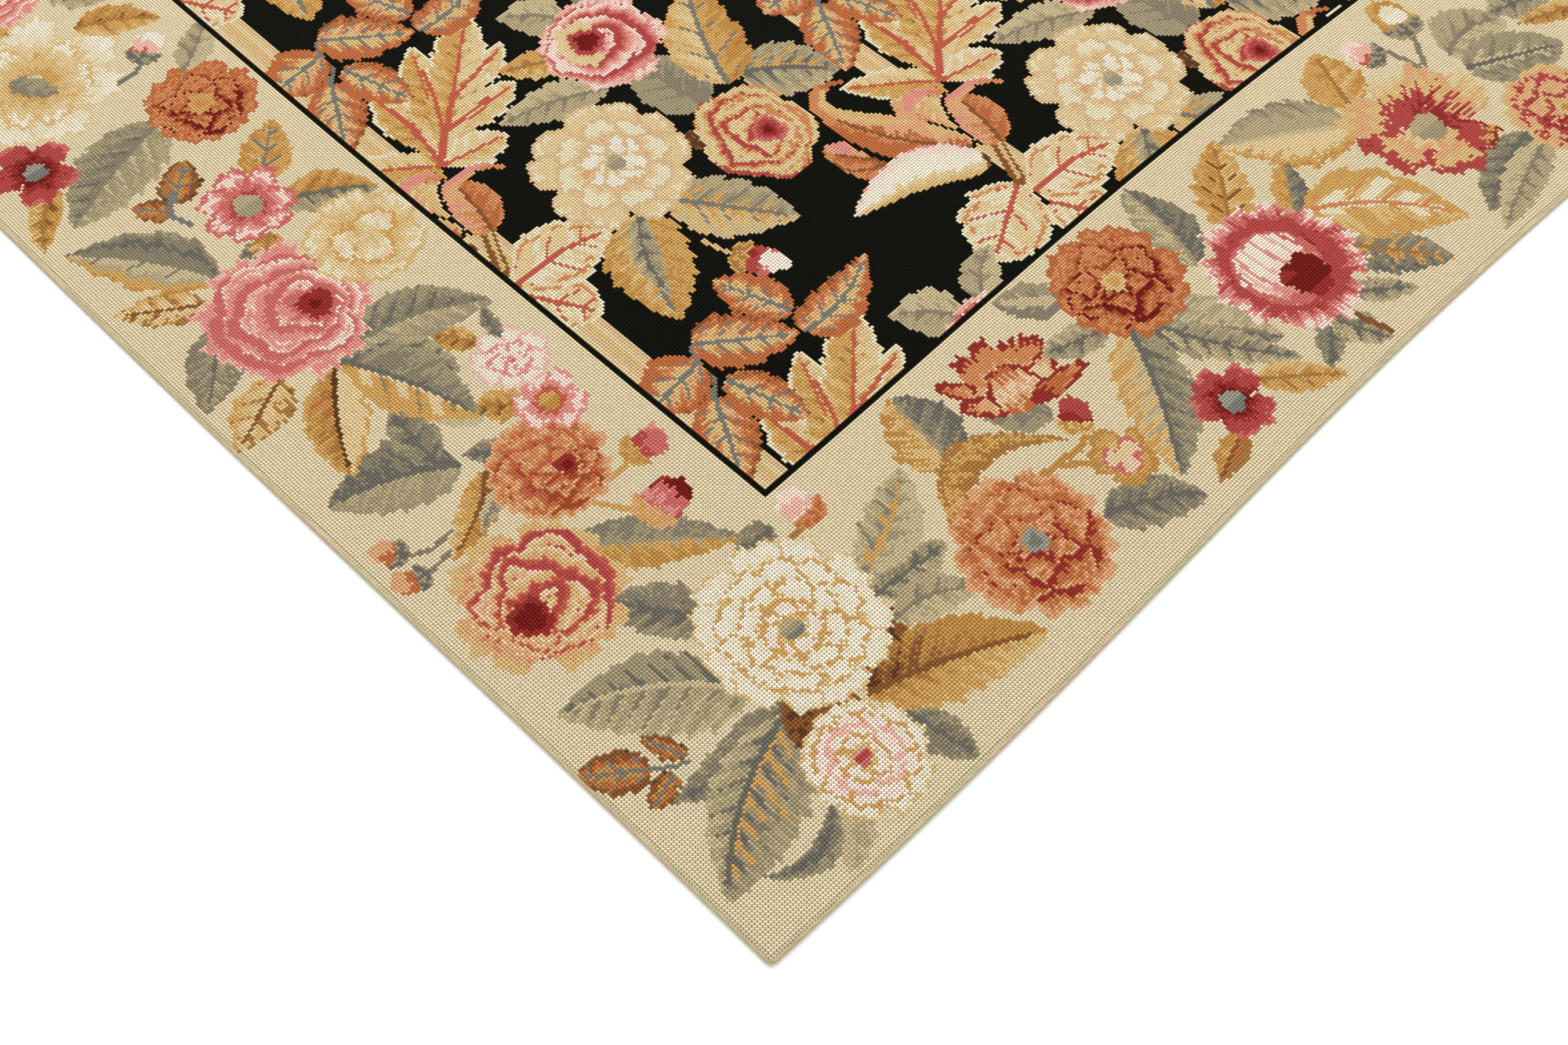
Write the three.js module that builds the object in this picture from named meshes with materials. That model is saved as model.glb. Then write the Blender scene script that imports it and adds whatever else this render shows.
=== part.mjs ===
import * as THREE from 'three';

// A needlepoint rug of wool tent stitches on canvas, lying flat on the floor.
// Millimetres, +Z up. The origin is on the floor under the middle of the rug, and the
// long side runs along Y. The rug is one sheet of cloth with its edges turned under.

// The canvas, counted in stitches
const STITCHES_ACROSS = 792;
const STITCHES_ALONG = 960;
const STITCH_WIDTH = 3.075;
const STITCH_LENGTH = 3.175;

// The turned edge, from the floor up: how far the cloth draws in, and its height
const EDGE_PROFILE = [
  { inset: 1.4, height: 0.0 },
  { inset: 0.2, height: 0.9 },
  { inset: 0.0, height: 2.0 },
  { inset: 0.7, height: 3.2 },
  { inset: 2.2, height: 4.0 },
];
const CORNER_RADIUS = 6.0;

// The canvas is a little out of true, so its rows and columns wander in long waves
const ROW_WANDER = { reach: 8.6, wavelength: 1507, start: 154 };
const COLUMN_WANDER = { reach: 3.4, wavelength: 1905, start: 952 };

// The stitched face swells and sinks a little between its edges
const SWELL = { height: 0.5, across: 610, along: 760 };

// The mesh: even cells, with one narrow cell along each edge
const CELLS_ACROSS = 30;
const CELLS_ALONG = 38;

const WIDTH = STITCHES_ACROSS * STITCH_WIDTH;
const LENGTH = STITCHES_ALONG * STITCH_LENGTH;

const wool = new THREE.MeshStandardMaterial({ color: 0xd9cfae, roughness: 0.95, metalness: 0 });
wool.name = 'wool_tent_stitch';

/** Where line number i of a row of cells lies, from -half to half, drawn in at the edge. */
function gridLine(i, cells, half, inset) {
  const fromEnd = Math.min(i, cells - i);
  const side = i * 2 < cells ? -1 : 1;
  if (fromEnd === 0) return side * (half - inset);
  const middle = half - CORNER_RADIUS;
  return THREE.MathUtils.mapLinear(i, 1, cells - 1, -middle, middle);
}

/** Draws the very corner of a ring in to the middle of its quarter circle. */
function roundCorner(point, inset) {
  const radius = CORNER_RADIUS - inset;
  const centreX = WIDTH / 2 - CORNER_RADIUS;
  const centreY = LENGTH / 2 - CORNER_RADIUS;
  point.x = Math.sign(point.x) * (centreX + radius * Math.SQRT1_2);
  point.y = Math.sign(point.y) * (centreY + radius * Math.SQRT1_2);
}

/** A long sideways wave of the canvas at a distance along its edge. */
function wander(wave, distance) {
  return -wave.reach * Math.cos((2 * Math.PI * (distance - wave.start)) / wave.wavelength);
}

/** The height that the face swells by at a point, nothing at the edges. */
function swell(x, y) {
  const fade = Math.cos((Math.PI * x) / WIDTH) * Math.cos((Math.PI * y) / LENGTH);
  const waves = Math.sin((2 * Math.PI * x) / SWELL.across) * Math.sin((2 * Math.PI * y) / SWELL.along);
  return SWELL.height * Math.max(fade, 0) * waves;
}

/** Shapes a block of cells into the rug's sheet. */
function makeSheet() {
  const levels = EDGE_PROFILE.length - 1;
  const sheet = new THREE.BoxGeometry(1, 1, 1, CELLS_ACROSS, CELLS_ALONG, levels);
  const points = sheet.getAttribute('position');
  const point = new THREE.Vector3();
  for (let n = 0; n < points.count; n += 1) {
    point.fromBufferAttribute(points, n);
    const column = Math.round((point.x + 0.5) * CELLS_ACROSS);
    const row = Math.round((point.y + 0.5) * CELLS_ALONG);
    const level = Math.round((point.z + 0.5) * levels);
    const { inset, height } = EDGE_PROFILE[level];
    point.x = gridLine(column, CELLS_ACROSS, WIDTH / 2, inset);
    point.y = gridLine(row, CELLS_ALONG, LENGTH / 2, inset);
    const atCorner = column % CELLS_ACROSS === 0 && row % CELLS_ALONG === 0;
    if (atCorner) roundCorner(point, inset);
    const rise = level === levels ? swell(point.x, point.y) : 0;
    const sideways = wander(COLUMN_WANDER, point.y + LENGTH / 2);
    const lengthways = wander(ROW_WANDER, point.x + WIDTH / 2);
    points.setXYZ(n, point.x + sideways, point.y + lengthways, height + rise);
  }
  sheet.computeBoundingBox();
  const middle = sheet.boundingBox.getCenter(new THREE.Vector3());
  sheet.translate(-middle.x, -middle.y, 0);
  sheet.computeVertexNormals();
  return sheet;
}

const panel = new THREE.Mesh(makeSheet(), wool);
panel.name = 'needlepoint_panel';

const rug = new THREE.Group();
rug.add(panel);

export default rug;
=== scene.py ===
"""A needlepoint rug of wool tent stitches: a black field of flowers in a wide cream border.

The pattern is a needlepoint chart that this script works out, stitch by stitch, from leaves,
petals and roses that are placed one by one. The rug is one sheet of cloth: its stitched face, its
turned edge, the hem under it and the reverse of the stitches.
"""

import logging
import math
from dataclasses import dataclass, replace
from enum import Enum, IntEnum
from typing import Protocol

import bpy
import numpy as np
from mathutils import Matrix, Vector


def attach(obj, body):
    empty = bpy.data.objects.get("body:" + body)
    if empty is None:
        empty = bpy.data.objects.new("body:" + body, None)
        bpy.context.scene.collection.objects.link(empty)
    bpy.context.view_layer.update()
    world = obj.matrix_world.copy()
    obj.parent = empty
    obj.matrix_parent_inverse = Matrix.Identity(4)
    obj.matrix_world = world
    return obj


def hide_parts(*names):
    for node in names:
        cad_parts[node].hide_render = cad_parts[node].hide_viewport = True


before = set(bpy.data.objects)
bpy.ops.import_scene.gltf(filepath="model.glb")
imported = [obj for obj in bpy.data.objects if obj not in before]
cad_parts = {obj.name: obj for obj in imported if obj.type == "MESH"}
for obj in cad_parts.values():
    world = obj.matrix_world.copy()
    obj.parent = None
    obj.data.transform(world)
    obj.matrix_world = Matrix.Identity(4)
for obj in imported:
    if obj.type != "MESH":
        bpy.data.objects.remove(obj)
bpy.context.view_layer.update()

log = logging.getLogger("needlepoint_rug")

PANEL_NODE = "needlepoint_panel"
TURN = 2 * math.pi


class Yarn(IntEnum):
    """The wool yarns of the rug with their screen colours, dark to light within each family."""

    colour: str

    def __new__(cls, number: int, colour: str) -> "Yarn":
        """Makes a yarn from its number in the chart and its colour.

        Args:
            number: Its number in the chart.
            colour: Its screen colour.

        Returns:
            The yarn.
        """
        yarn = int.__new__(cls, number)
        yarn._value_ = number
        yarn.colour = colour
        return yarn

    NIGHT = 0, "10110B"
    BARK = 1, "5E3B22"
    UMBER = 2, "88562F"
    SLATE = 3, "6E6A60"
    STONE = 4, "8A806A"
    SAGE = 5, "A29575"
    MIST = 6, "B5A47E"
    FOG = 7, "C7B58C"
    OCHRE = 8, "A97740"
    GOLD = 9, "C08C48"
    HONEY = 10, "CFA05B"
    STRAW = 11, "D8B67A"
    WHEAT = 12, "DFC594"
    GROUND = 13, "DDCCA6"
    IVORY = 14, "E6D9B8"
    MILK = 15, "EEE2CC"
    RUST = 16, "9E4A28"
    COPPER = 17, "BD6B3F"
    APRICOT = 18, "CF8857"
    PEACH = 19, "DCA577"
    SHELL = 20, "E9C6A2"
    WINE = 21, "741C1A"
    BRICK = 22, "95302A"
    CRIMSON = 23, "B24845"
    ROSE = 24, "CB6B64"
    PINK = 25, "DF9084"
    BLUSH = 26, "ECB4A3"
    PETAL = 27, "F3D5C5"
    CORAL = 28, "C25C48"
    PEWTER = 29, "979585"
    LEAD = 30, "7B7A70"
    BUFF = 31, "D8B88A"


Tones = tuple[Yarn, ...]
Place = tuple[float, float]

# Strength, pace and shift by the seed of the waves that add up to an uneven one
WAVE_PARTS = ((1.0, 1.0, 1.7), (0.8, 2.63, 4.1), (0.6, 5.91, 2.3))


def uneven(where: np.ndarray, seed: float) -> np.ndarray:
    """An uneven wave between -1 and 1, the same each time for the same seed.

    Args:
        where: Places along the wave, in radians of its slowest part.
        seed: Moves the wave's parts against each other.

    Returns:
        The height of the wave at each place.
    """
    height = 0.0
    for strength, pace, shift in WAVE_PARTS:
        height = height + strength * np.sin(pace * where + shift * seed)
    return height / sum(strength for strength, _, _ in WAVE_PARTS)


def graded(tones: Tones, level: np.ndarray) -> np.ndarray:
    """Picks the yarn of each stitch from a row of tones, by a level from 0 to 1."""
    steps = np.clip((level * len(tones)).astype(int), 0, len(tones) - 1)
    return np.array(tones, np.uint8)[steps]


@dataclass(frozen=True)
class Lay:
    """How a group of motifs lies on the canvas: turned, then shifted, in stitches."""

    turn: float = 0.0
    across: float = 0.0
    up: float = 0.0

    def put(self, x: float, y: float) -> Place:
        """Where a point of the group comes to lie."""
        cosine, sine = math.cos(self.turn), math.sin(self.turn)
        return self.across + cosine * x - sine * y, self.up + sine * x + cosine * y


@dataclass(frozen=True)
class Wander:
    """A long sideways wave of the canvas, in stitches."""

    mean: float
    reach: float
    wavelength: float
    start: float

    def at(self, distance: float) -> float:
        """The sideways shift at a distance along the wave."""
        return self.mean - self.reach * math.cos(TURN * (distance - self.start) / self.wavelength)


# How far the canvas stands off true where the places of the motifs were read
ROWS_AS_LAID = Wander(mean=1.0, reach=2.7, wavelength=490.0, start=50.0)
COLUMNS_AS_LAID = Wander(mean=-0.35, reach=1.1, wavelength=600.0, start=300.0)


class Chart:
    """A needlepoint chart, which holds the yarn of each stitch by row and column."""

    def __init__(self, columns: int, rows: int, ground: Yarn) -> None:
        """Starts a chart that is worked all over in one yarn."""
        self.yarns = np.full((rows, columns), int(ground), np.uint8)
        self.lay = Lay()

    def patch(self, x: float, y: float, heading: float, reach: float) -> "Patch":
        """Opens the stitches round a point, measured along and across a heading.

        Args:
            x: Column of the point, before the group is laid.
            y: Row of the point, before the group is laid.
            heading: Direction of the motif in radians, from the columns' axis.
            reach: How far the motif goes from the point, in stitches.

        Returns:
            The patch, whose distances are in stitches.
        """
        true_x, true_y = x - COLUMNS_AS_LAID.at(y), y - ROWS_AS_LAID.at(x)
        centre_x, centre_y = self.lay.put(true_x, true_y)
        angle = heading + self.lay.turn
        columns = np.arange(math.floor(centre_x - reach), math.ceil(centre_x + reach) + 1)
        rows = np.arange(math.floor(centre_y - reach), math.ceil(centre_y + reach) + 1)
        columns, rows = np.meshgrid(columns, rows)
        from_x, from_y = columns + 0.5 - centre_x, rows + 0.5 - centre_y
        cosine, sine = math.cos(angle), math.sin(angle)
        along = cosine * from_x + sine * from_y
        aside = cosine * from_y - sine * from_x
        return Patch(self, columns, rows, along, aside)

    def stitch(self, columns: np.ndarray, rows: np.ndarray, yarns: np.ndarray) -> None:
        """Works a list of stitches, leaving out those that fall off the canvas.

        Args:
            columns: The stitches' columns.
            rows: Their rows.
            yarns: Their yarn numbers.
        """
        high, wide = self.yarns.shape
        kept = (columns >= 0) & (columns < wide) & (rows >= 0) & (rows < high)
        self.yarns[rows[kept], columns[kept]] = yarns[kept]


class RepeatChart(Chart):
    """One tile of a half-drop repeat, on which a motif that leaves one side comes back."""

    def __init__(self, columns: int, rows: int, ground: Yarn) -> None:
        """Starts a tile that drops by half its rows from each column of tiles to the next."""
        super().__init__(columns, rows, ground)
        self.columns, self.rows, self.drop = columns, rows, rows // 2

    def tile_place(self, columns: np.ndarray, rows: np.ndarray) -> tuple[np.ndarray, np.ndarray]:
        """The stitch of the tile that stands for each stitch of the canvas."""
        tile = columns // self.columns
        return columns - tile * self.columns, (rows + tile * self.drop) % self.rows

    def stitch(self, columns: np.ndarray, rows: np.ndarray, yarns: np.ndarray) -> None:
        """Works a list of stitches on the tile."""
        columns, rows = self.tile_place(columns, rows)
        self.yarns[rows, columns] = yarns


@dataclass
class Patch:
    """The stitches round one motif, with their distances along and across it."""

    chart: Chart
    columns: np.ndarray
    rows: np.ndarray
    along: np.ndarray
    aside: np.ndarray

    def work(self, mask: np.ndarray, yarns: np.ndarray | Yarn) -> None:
        """Works the marked stitches in one yarn or in a yarn for each."""
        shades = np.broadcast_to(np.asarray(yarns, np.uint8), mask.shape)
        self.chart.stitch(self.columns[mask], self.rows[mask], shades[mask])


class Motif(Protocol):
    """Anything that can be worked on a chart."""

    def work(self, chart: Chart) -> None:
        """Works the motif on the chart."""


@dataclass(frozen=True)
class BladeDress:
    """The yarns of a leaf or a long petal, with the tones of each half from dark to light."""

    left: Tones
    right: Tones
    rib: Yarn | None = None
    vein: Yarn | None = None
    rim: Yarn | None = None
    flush: Yarn | None = None
    contour: Yarn | None = None
    lean: float = 0.3
    depth: float = 0.5
    grain: float = 0.26
    fade: float = 0.0
    flush_side: int = 0
    flush_width: float = 1.2


@dataclass(frozen=True)
class Blade:
    """A leaf or a long petal from its foot to its tip, bent sideways along an arc.

    The sizes are in stitches. A bend above 0 bows it to the left of its heading.
    """

    foot: Place
    tip: Place
    width: float
    dress: BladeDress
    bend: float = 0.0
    fullest: float = 0.42
    bluntness: float = 0.8
    teeth: float = 0.16
    rim_width: float = 1.3
    rim_from: float = 0.0
    veins: int = 0
    balance: float = 0.0
    sweep: float = 0.85

    VEIN_PITCH = 7
    FEWEST_VEINS = 3
    VEINED_WIDTH = 10
    VEIN_WIDTH = 1.1
    INNER_FROM = 0.08
    INNER_TO = 0.86
    RIB_TO = 0.9
    CONTOUR_FROM = 2.4
    CONTOUR_TO = 3.7
    MIDDLE_LIGHT = 0.66

    def work(self, chart: Chart) -> None:
        """Works the blade: its two halves, then its flush, veins, contour, rim and rib.

        Args:
            chart: The chart that it is worked on.
        """
        run = self.tip[0] - self.foot[0], self.tip[1] - self.foot[1]
        length = math.hypot(*run)
        middle = (self.foot[0] + self.tip[0]) / 2, (self.foot[1] + self.tip[1]) / 2
        reach = length / 2 + abs(self.bend) + self.width / 2
        patch = chart.patch(*middle, math.atan2(run[1], run[0]), reach)
        share = np.clip(patch.along / length + 0.5, 0.0, 1.0)
        off_rib = patch.aside - 4 * self.bend * share * (1 - share)
        left = off_rib > 0
        seed = self.foot[0] + 2.0 * self.tip[1] + np.where(left, 0.0, 2.3)
        veins = self.veins or max(self.FEWEST_VEINS, round(length / self.VEIN_PITCH))
        half = self.half_width(share, length, veins, seed) * (1 + self.balance * np.where(left, 1, -1))
        inside = (np.abs(patch.along) < length / 2) & (np.abs(off_rib) < half)
        from_rib = np.abs(off_rib) / np.maximum(half, 0.1)
        swept = (share - self.sweep * np.abs(off_rib) / length) * veins
        swept = swept + 0.12 * uneven(3.0 * share, seed)
        past_vein = (swept % 1.0) * length / veins
        level = self.light_at(from_rib, swept, past_vein, seed) + self.dress.fade * (share - 0.5)
        patch.work(inside & left, graded(self.dress.left, level))
        patch.work(inside & ~left, graded(self.dress.right, level))
        inner = inside & (share > self.INNER_FROM) & (share < self.INNER_TO)
        if self.dress.flush is not None:
            side = self.dress.flush_side
            fed = inner & ((side == 0) | (left == (side > 0)))
            reach = 0.45 + 0.4 * uneven(2.1 * np.floor(swept), seed)
            thick = self.dress.flush_width - 0.5 * from_rib
            streak = (np.abs(past_vein - 0.55 * length / veins) < thick) & (from_rib < reach)
            beside_rib = (np.abs(off_rib) < 2.2 - 1.2 * share) & (share > 0.15)
            patch.work(fed & (streak | beside_rib), self.dress.flush)
        if self.dress.vein is not None and self.width > self.VEINED_WIDTH:
            reach = 0.6 + 0.26 * uneven(2.3 * np.floor(swept), seed)
            patch.work(inner & (past_vein < self.VEIN_WIDTH) & (from_rib < reach), self.dress.vein)
        if self.dress.contour is not None:
            from_rim = half - np.abs(off_rib)
            drawn = uneven(5.0 * share, seed + 0.8) > -0.45
            line = (from_rim > self.CONTOUR_FROM) & (from_rim < self.CONTOUR_TO)
            patch.work(inner & drawn & line, self.dress.contour)
        if self.dress.rim is not None:
            at_rim = inside & (half - np.abs(off_rib) < self.rim_width)
            patch.work(at_rim & (share >= self.rim_from), self.dress.rim)
        if self.dress.rib is not None:
            thick = min(1.1, 0.35 + 0.028 * self.width) - 0.45 * share
            at_rib = inside & (np.abs(off_rib) < np.maximum(thick, 0.5))
            patch.work(at_rib & (share < self.RIB_TO), self.dress.rib)

    def half_width(
        self, share: np.ndarray, length: float, veins: int, seed: np.ndarray
    ) -> np.ndarray:
        """Half the blade's width at a share of its length, with its teeth and ragged edge.

        Args:
            share: Shares of the length, from 0 at the foot to 1 at the tip.
            length: The blade's length.
            veins: The number of its side veins, each of which ends in a tooth.
            seed: Makes the two halves differ.

        Returns:
            The half widths, in stitches.
        """
        power = math.log(0.5) / math.log(self.fullest)
        outline = np.abs(np.sin(math.pi * share**power)) ** self.bluntness
        saw = (share * veins + 0.1 * seed) % 1.0 - 0.5
        feather = 0.55 * uneven(share * length * 0.8, seed)
        swing = 0.07 * uneven(share * 4.0, seed + 1.0)
        return self.width / 2 * outline * (1 + self.teeth * saw + swing) + feather * (self.teeth > 0)

    def light_at(
        self, from_rib: np.ndarray, swept: np.ndarray, past_vein: np.ndarray, seed: np.ndarray
    ) -> np.ndarray:
        """How light each stitch is, from 0 to 1: dark along the side veins, light between.

        Args:
            from_rib: Distances from the rib, as shares of the half width.
            swept: Places along the blade, in side veins.
            past_vein: Distances past the last side vein, in stitches.
            seed: Makes the two halves differ.

        Returns:
            The light of each stitch.
        """
        dress = self.dress
        strength = 0.5 + 0.5 * uneven(2.1 * np.floor(swept), seed + 2.0)
        wedge = (0.6 + 2.8 * strength) * np.clip(1.15 - from_rib / (0.4 + 0.6 * strength), 0.0, 1.0)
        shadow = np.clip(1.5 - past_vein / np.maximum(wedge, 0.1), 0.0, 1.0)
        streaks = uneven(swept * 7.0 + 1.2 * from_rib, seed)
        streaks = streaks + 0.5 * uneven(swept * 1.3 - 2.0 * from_rib, seed + 4.0)
        light = self.MIDDLE_LIGHT + dress.lean * (from_rib - 0.5)
        return light - dress.depth * shadow + dress.grain * streaks


@dataclass(frozen=True)
class PetalDress:
    """The yarns of a petal: its tones from heart to rim, and a line round it."""

    tones: Tones
    edge: Yarn | None = None
    edge_width: float = 1.3
    ruffle: float = 0.12
    notch: float = 0.12
    streaks: float = 0.16


@dataclass(frozen=True)
class Ring:
    """A ring of like petals round a flower's heart, sizes in stitches."""

    count: int
    near: float
    far: float
    width: float
    dress: PetalDress
    start: float = 0.0


def work_petal(chart: Chart, place: Place, heading: float, ring: Ring, seed: float) -> None:
    """Works one petal that grows from a flower's heart.

    Args:
        chart: The chart that it is worked on.
        place: The flower's heart.
        heading: Direction of the petal in radians.
        ring: The petal's sizes and yarns.
        seed: Varies the petal's ruffles and streaks.
    """
    dress = ring.dress
    far = ring.far * (1 + 0.07 * math.sin(5.3 * seed))
    middle, half_long = (ring.near + far) / 2, (far - ring.near) / 2
    half_wide = ring.width / 2
    patch = chart.patch(*place, heading, far * 1.15 + 1)
    dent = dress.notch * np.exp(-((patch.aside / (0.35 * half_wide)) ** 2))
    along = (patch.along - middle) / (half_long * (1 - dent))
    aside = patch.aside / half_wide
    round_it = np.arctan2(aside, along)
    radius = np.hypot(along, aside) * (1 + dress.ruffle * uneven(3.2 * round_it, seed))
    inside = radius < 1
    streaks = uneven(patch.aside * 1.1, seed) + 0.5 * uneven(patch.aside * 2.9, seed + 1)
    level = (along + 1) / 2 + dress.streaks * streaks
    patch.work(inside, graded(dress.tones, level))
    if dress.edge is not None:
        to_edge = (1 - radius) * min(half_long, half_wide)
        thick = dress.edge_width * (1 + 0.7 * uneven(3.0 * round_it, seed + 3))
        patch.work(inside & (to_edge < thick) & (along > -0.6), dress.edge)


@dataclass(frozen=True)
class Rosette:
    """An open flower of rings of petals, outer ring first, round a small heart."""

    place: Place
    rings: tuple[Ring, ...]
    heart: Tones = (Yarn.LEAD, Yarn.PEWTER)
    heart_radius: float = 4.0

    def work(self, chart: Chart) -> None:
        """Works the rings from the outside in, then the heart.

        Args:
            chart: The chart that it is worked on.
        """
        for number, ring in enumerate(self.rings):
            for petal in range(ring.count):
                seed = self.place[0] + 3.7 * number + 1.3 * petal
                sway = 0.12 * math.sin(7.1 * seed) if ring.count > 1 else 0.0
                heading = ring.start + TURN * (petal + sway) / ring.count
                work_petal(chart, self.place, heading, ring, seed)
        if self.heart_radius > 0:
            patch = chart.patch(*self.place, 0.0, self.heart_radius + 2)
            away = np.hypot(patch.along, patch.aside)
            angle = np.arctan2(patch.aside, patch.along)
            edge = self.heart_radius * (1 + 0.15 * uneven(3 * angle, self.place[1]))
            level = 0.5 + 0.5 * patch.aside / self.heart_radius
            patch.work(away < edge, graded(self.heart, level))


@dataclass(frozen=True)
class RoseDress:
    """The yarns of a full rose: one fold from its shadow to its lip, and the heart."""

    fold: Tones
    heart: Tones
    collar: Tones | None = None


@dataclass(frozen=True)
class Rose:
    """A full rose whose folds lie round an off-centre heart, sizes in stitches."""

    place: Place
    radius: float
    heart_at: Place
    heart_radius: float
    dress: RoseDress
    folds: float = 4.5
    lobes: int = 6
    stretch: float = 1.0
    outer: Ring | None = None
    petals: float = 3.0
    arch: float = 0.34
    shade: float = 0.2
    shade_from: float = 140.0
    strokes: float = 0.1

    def work(self, chart: Chart) -> None:
        """Works the outer petals, the folds, the collar and the heart.

        Args:
            chart: The chart that it is worked on.
        """
        seed = self.place[0] + self.place[1]
        if self.outer is not None:
            Rosette(self.place, (self.outer,), heart_radius=0.0).work(chart)
        patch = chart.patch(*self.place, 0.0, self.radius * 1.3)
        across, up = patch.along, patch.aside / self.stretch
        angle = np.arctan2(up, across)
        lobed = np.abs(np.cos(self.lobes * angle / 2 + seed)) ** 0.6
        outline = self.radius * (0.87 + 0.13 * lobed + 0.04 * uneven(5 * angle, seed))
        away = np.hypot(across, up)
        body = away < outline
        from_x, from_y = across - self.heart_at[0], up - self.heart_at[1] / self.stretch
        distance = np.hypot(from_x, from_y)
        share = distance / (distance + np.maximum(outline - away, 0.0) + 0.01)
        round_heart = np.arctan2(from_y, from_x)
        turn = round_heart / TURN
        ring = share * self.folds + turn
        phase = (turn * self.petals + 0.37 * np.floor(ring) + 0.1 * seed) % 1.0
        arch = 1 - (2 * phase - 1) ** 2
        depth = ring - self.arch * (1 - arch) + 0.1 * uneven(5 * round_heart, seed)
        shade = self.shade * np.cos(round_heart - math.radians(self.shade_from))
        strokes = self.strokes * uneven(15 * round_heart + 2.7 * np.floor(depth), seed + 2)
        level = depth % 1.0 - shade + strokes
        patch.work(body, graded(self.dress.fold, level))
        ragged_heart = self.heart_radius * (1 + 0.22 * uneven(3 * round_heart, seed))
        if self.dress.collar is not None:
            lit = np.cos(round_heart - math.radians(self.shade_from)) < 0.45
            collar = body & lit & (distance < ragged_heart * 1.75)
            patch.work(collar, graded(self.dress.collar, distance / (ragged_heart * 1.75)))
        in_heart = distance < ragged_heart
        patch.work(in_heart, graded(self.dress.heart, distance / ragged_heart))


@dataclass(frozen=True)
class Stem:
    """A stem through a few points, of one thickness in stitches."""

    points: tuple[Place, ...]
    yarn: Yarn
    thickness: float = 2.0

    def work(self, chart: Chart) -> None:
        """Works the stem, one straight length after another.

        Args:
            chart: The chart that it is worked on.
        """
        for start, end in zip(self.points, self.points[1:]):
            run = end[0] - start[0], end[1] - start[1]
            length = math.hypot(*run)
            middle = (start[0] + end[0]) / 2, (start[1] + end[1]) / 2
            patch = chart.patch(*middle, math.atan2(run[1], run[0]), length / 2 + self.thickness)
            past_end = np.maximum(np.abs(patch.along) - length / 2, 0.0)
            mask = np.hypot(past_end, patch.aside) < self.thickness / 2
            patch.work(mask, self.yarn)


@dataclass(frozen=True)
class Bud:
    """A bud that points along its heading, with two petals and its sepals."""

    place: Place
    heading: float
    size: float
    petals: tuple[Tones, Tones]
    sepal: Tones = (Yarn.SLATE, Yarn.SAGE)

    PETAL_SIDES = (0.35, -0.35)
    SEPAL_SIDES = (-0.9, 0.0, 0.9)

    def work(self, chart: Chart) -> None:
        """Works the two petals, one over the other, then three sepals at the foot.

        Args:
            chart: The chart that it is worked on.
        """
        angle = math.radians(self.heading)
        for side, tones in zip(self.PETAL_SIDES, self.petals):
            ring = Ring(1, -0.5 * self.size, 0.55 * self.size, 0.72 * self.size, PetalDress(tones))
            work_petal(chart, self.place, angle + side, ring, self.place[0] + side)
        foot_x = self.place[0] - 0.55 * self.size * math.cos(angle)
        foot_y = self.place[1] - 0.55 * self.size * math.sin(angle)
        dress = BladeDress(self.sepal, self.sepal)
        for side in self.SEPAL_SIDES:
            reach = self.size * (0.6 if side else 0.4)
            tip = foot_x + reach * math.cos(angle + side), foot_y + reach * math.sin(angle + side)
            Blade((foot_x, foot_y), tip, 0.34 * self.size, dress, teeth=0.0).work(chart)


(
    NIGHT, BARK, UMBER, SLATE, STONE, SAGE, MIST, FOG, OCHRE, GOLD, HONEY, STRAW, WHEAT, GROUND, IVORY,
    MILK, RUST, COPPER, APRICOT, PEACH, SHELL, WINE, BRICK, CRIMSON, ROSE, PINK, BLUSH, PETAL, CORAL,
    PEWTER, LEAD, BUFF,
) = Yarn

GREY = BladeDress((SLATE, STONE, SAGE, MIST), (SLATE, STONE, SAGE, MIST, FOG), rib=SLATE)
DARK_GREY = BladeDress((SLATE, SLATE, STONE, SAGE), (SLATE, STONE, STONE, SAGE), rib=SLATE)
PALE_GREY = BladeDress((STONE, SAGE, MIST, MIST), (SAGE, MIST, FOG, FOG), rib=STONE)
GREY_GOLD = BladeDress((SLATE, STONE, SAGE), (OCHRE, GOLD, HONEY, STRAW), rib=SLATE)
GOLD_GREY = BladeDress((OCHRE, GOLD, HONEY), (SLATE, STONE, SAGE, MIST), rib=SLATE)
SAGE_LEAF = BladeDress((STONE, SAGE, MIST, FOG), (SLATE, STONE, SAGE, SAGE), rib=FOG, depth=0.7, lean=0.15)
GREY_FLUSH = BladeDress(
    (SLATE, STONE, SAGE, MIST), (SLATE, STONE, SAGE, MIST, FOG), rib=SLATE, flush=HONEY, flush_side=1,
)
GOLD_LEAF = BladeDress((UMBER, OCHRE, GOLD, HONEY), (OCHRE, GOLD, HONEY, STRAW), rib=OCHRE)
BRIGHT_GOLD = BladeDress((GOLD, HONEY, STRAW), (OCHRE, GOLD, HONEY, HONEY), rib=OCHRE)
CREAM_GOLD = BladeDress((UMBER, OCHRE, STRAW, WHEAT), (OCHRE, HONEY, STRAW, WHEAT), rib=UMBER, lean=-0.5)
RUST_GOLD = BladeDress(
    (BARK, UMBER, OCHRE, GOLD, GOLD), (OCHRE, GOLD, HONEY, HONEY, STRAW), rib=UMBER, depth=0.12, fade=0.8,
    grain=0.24,
)
BROWN_LEAF = BladeDress(
    (UMBER, UMBER, OCHRE, COPPER, GOLD), (BARK, UMBER, UMBER, COPPER, GOLD), rib=LEAD, vein=LEAD, lean=-0.9,
    depth=0.1, grain=0.2,
)
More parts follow.
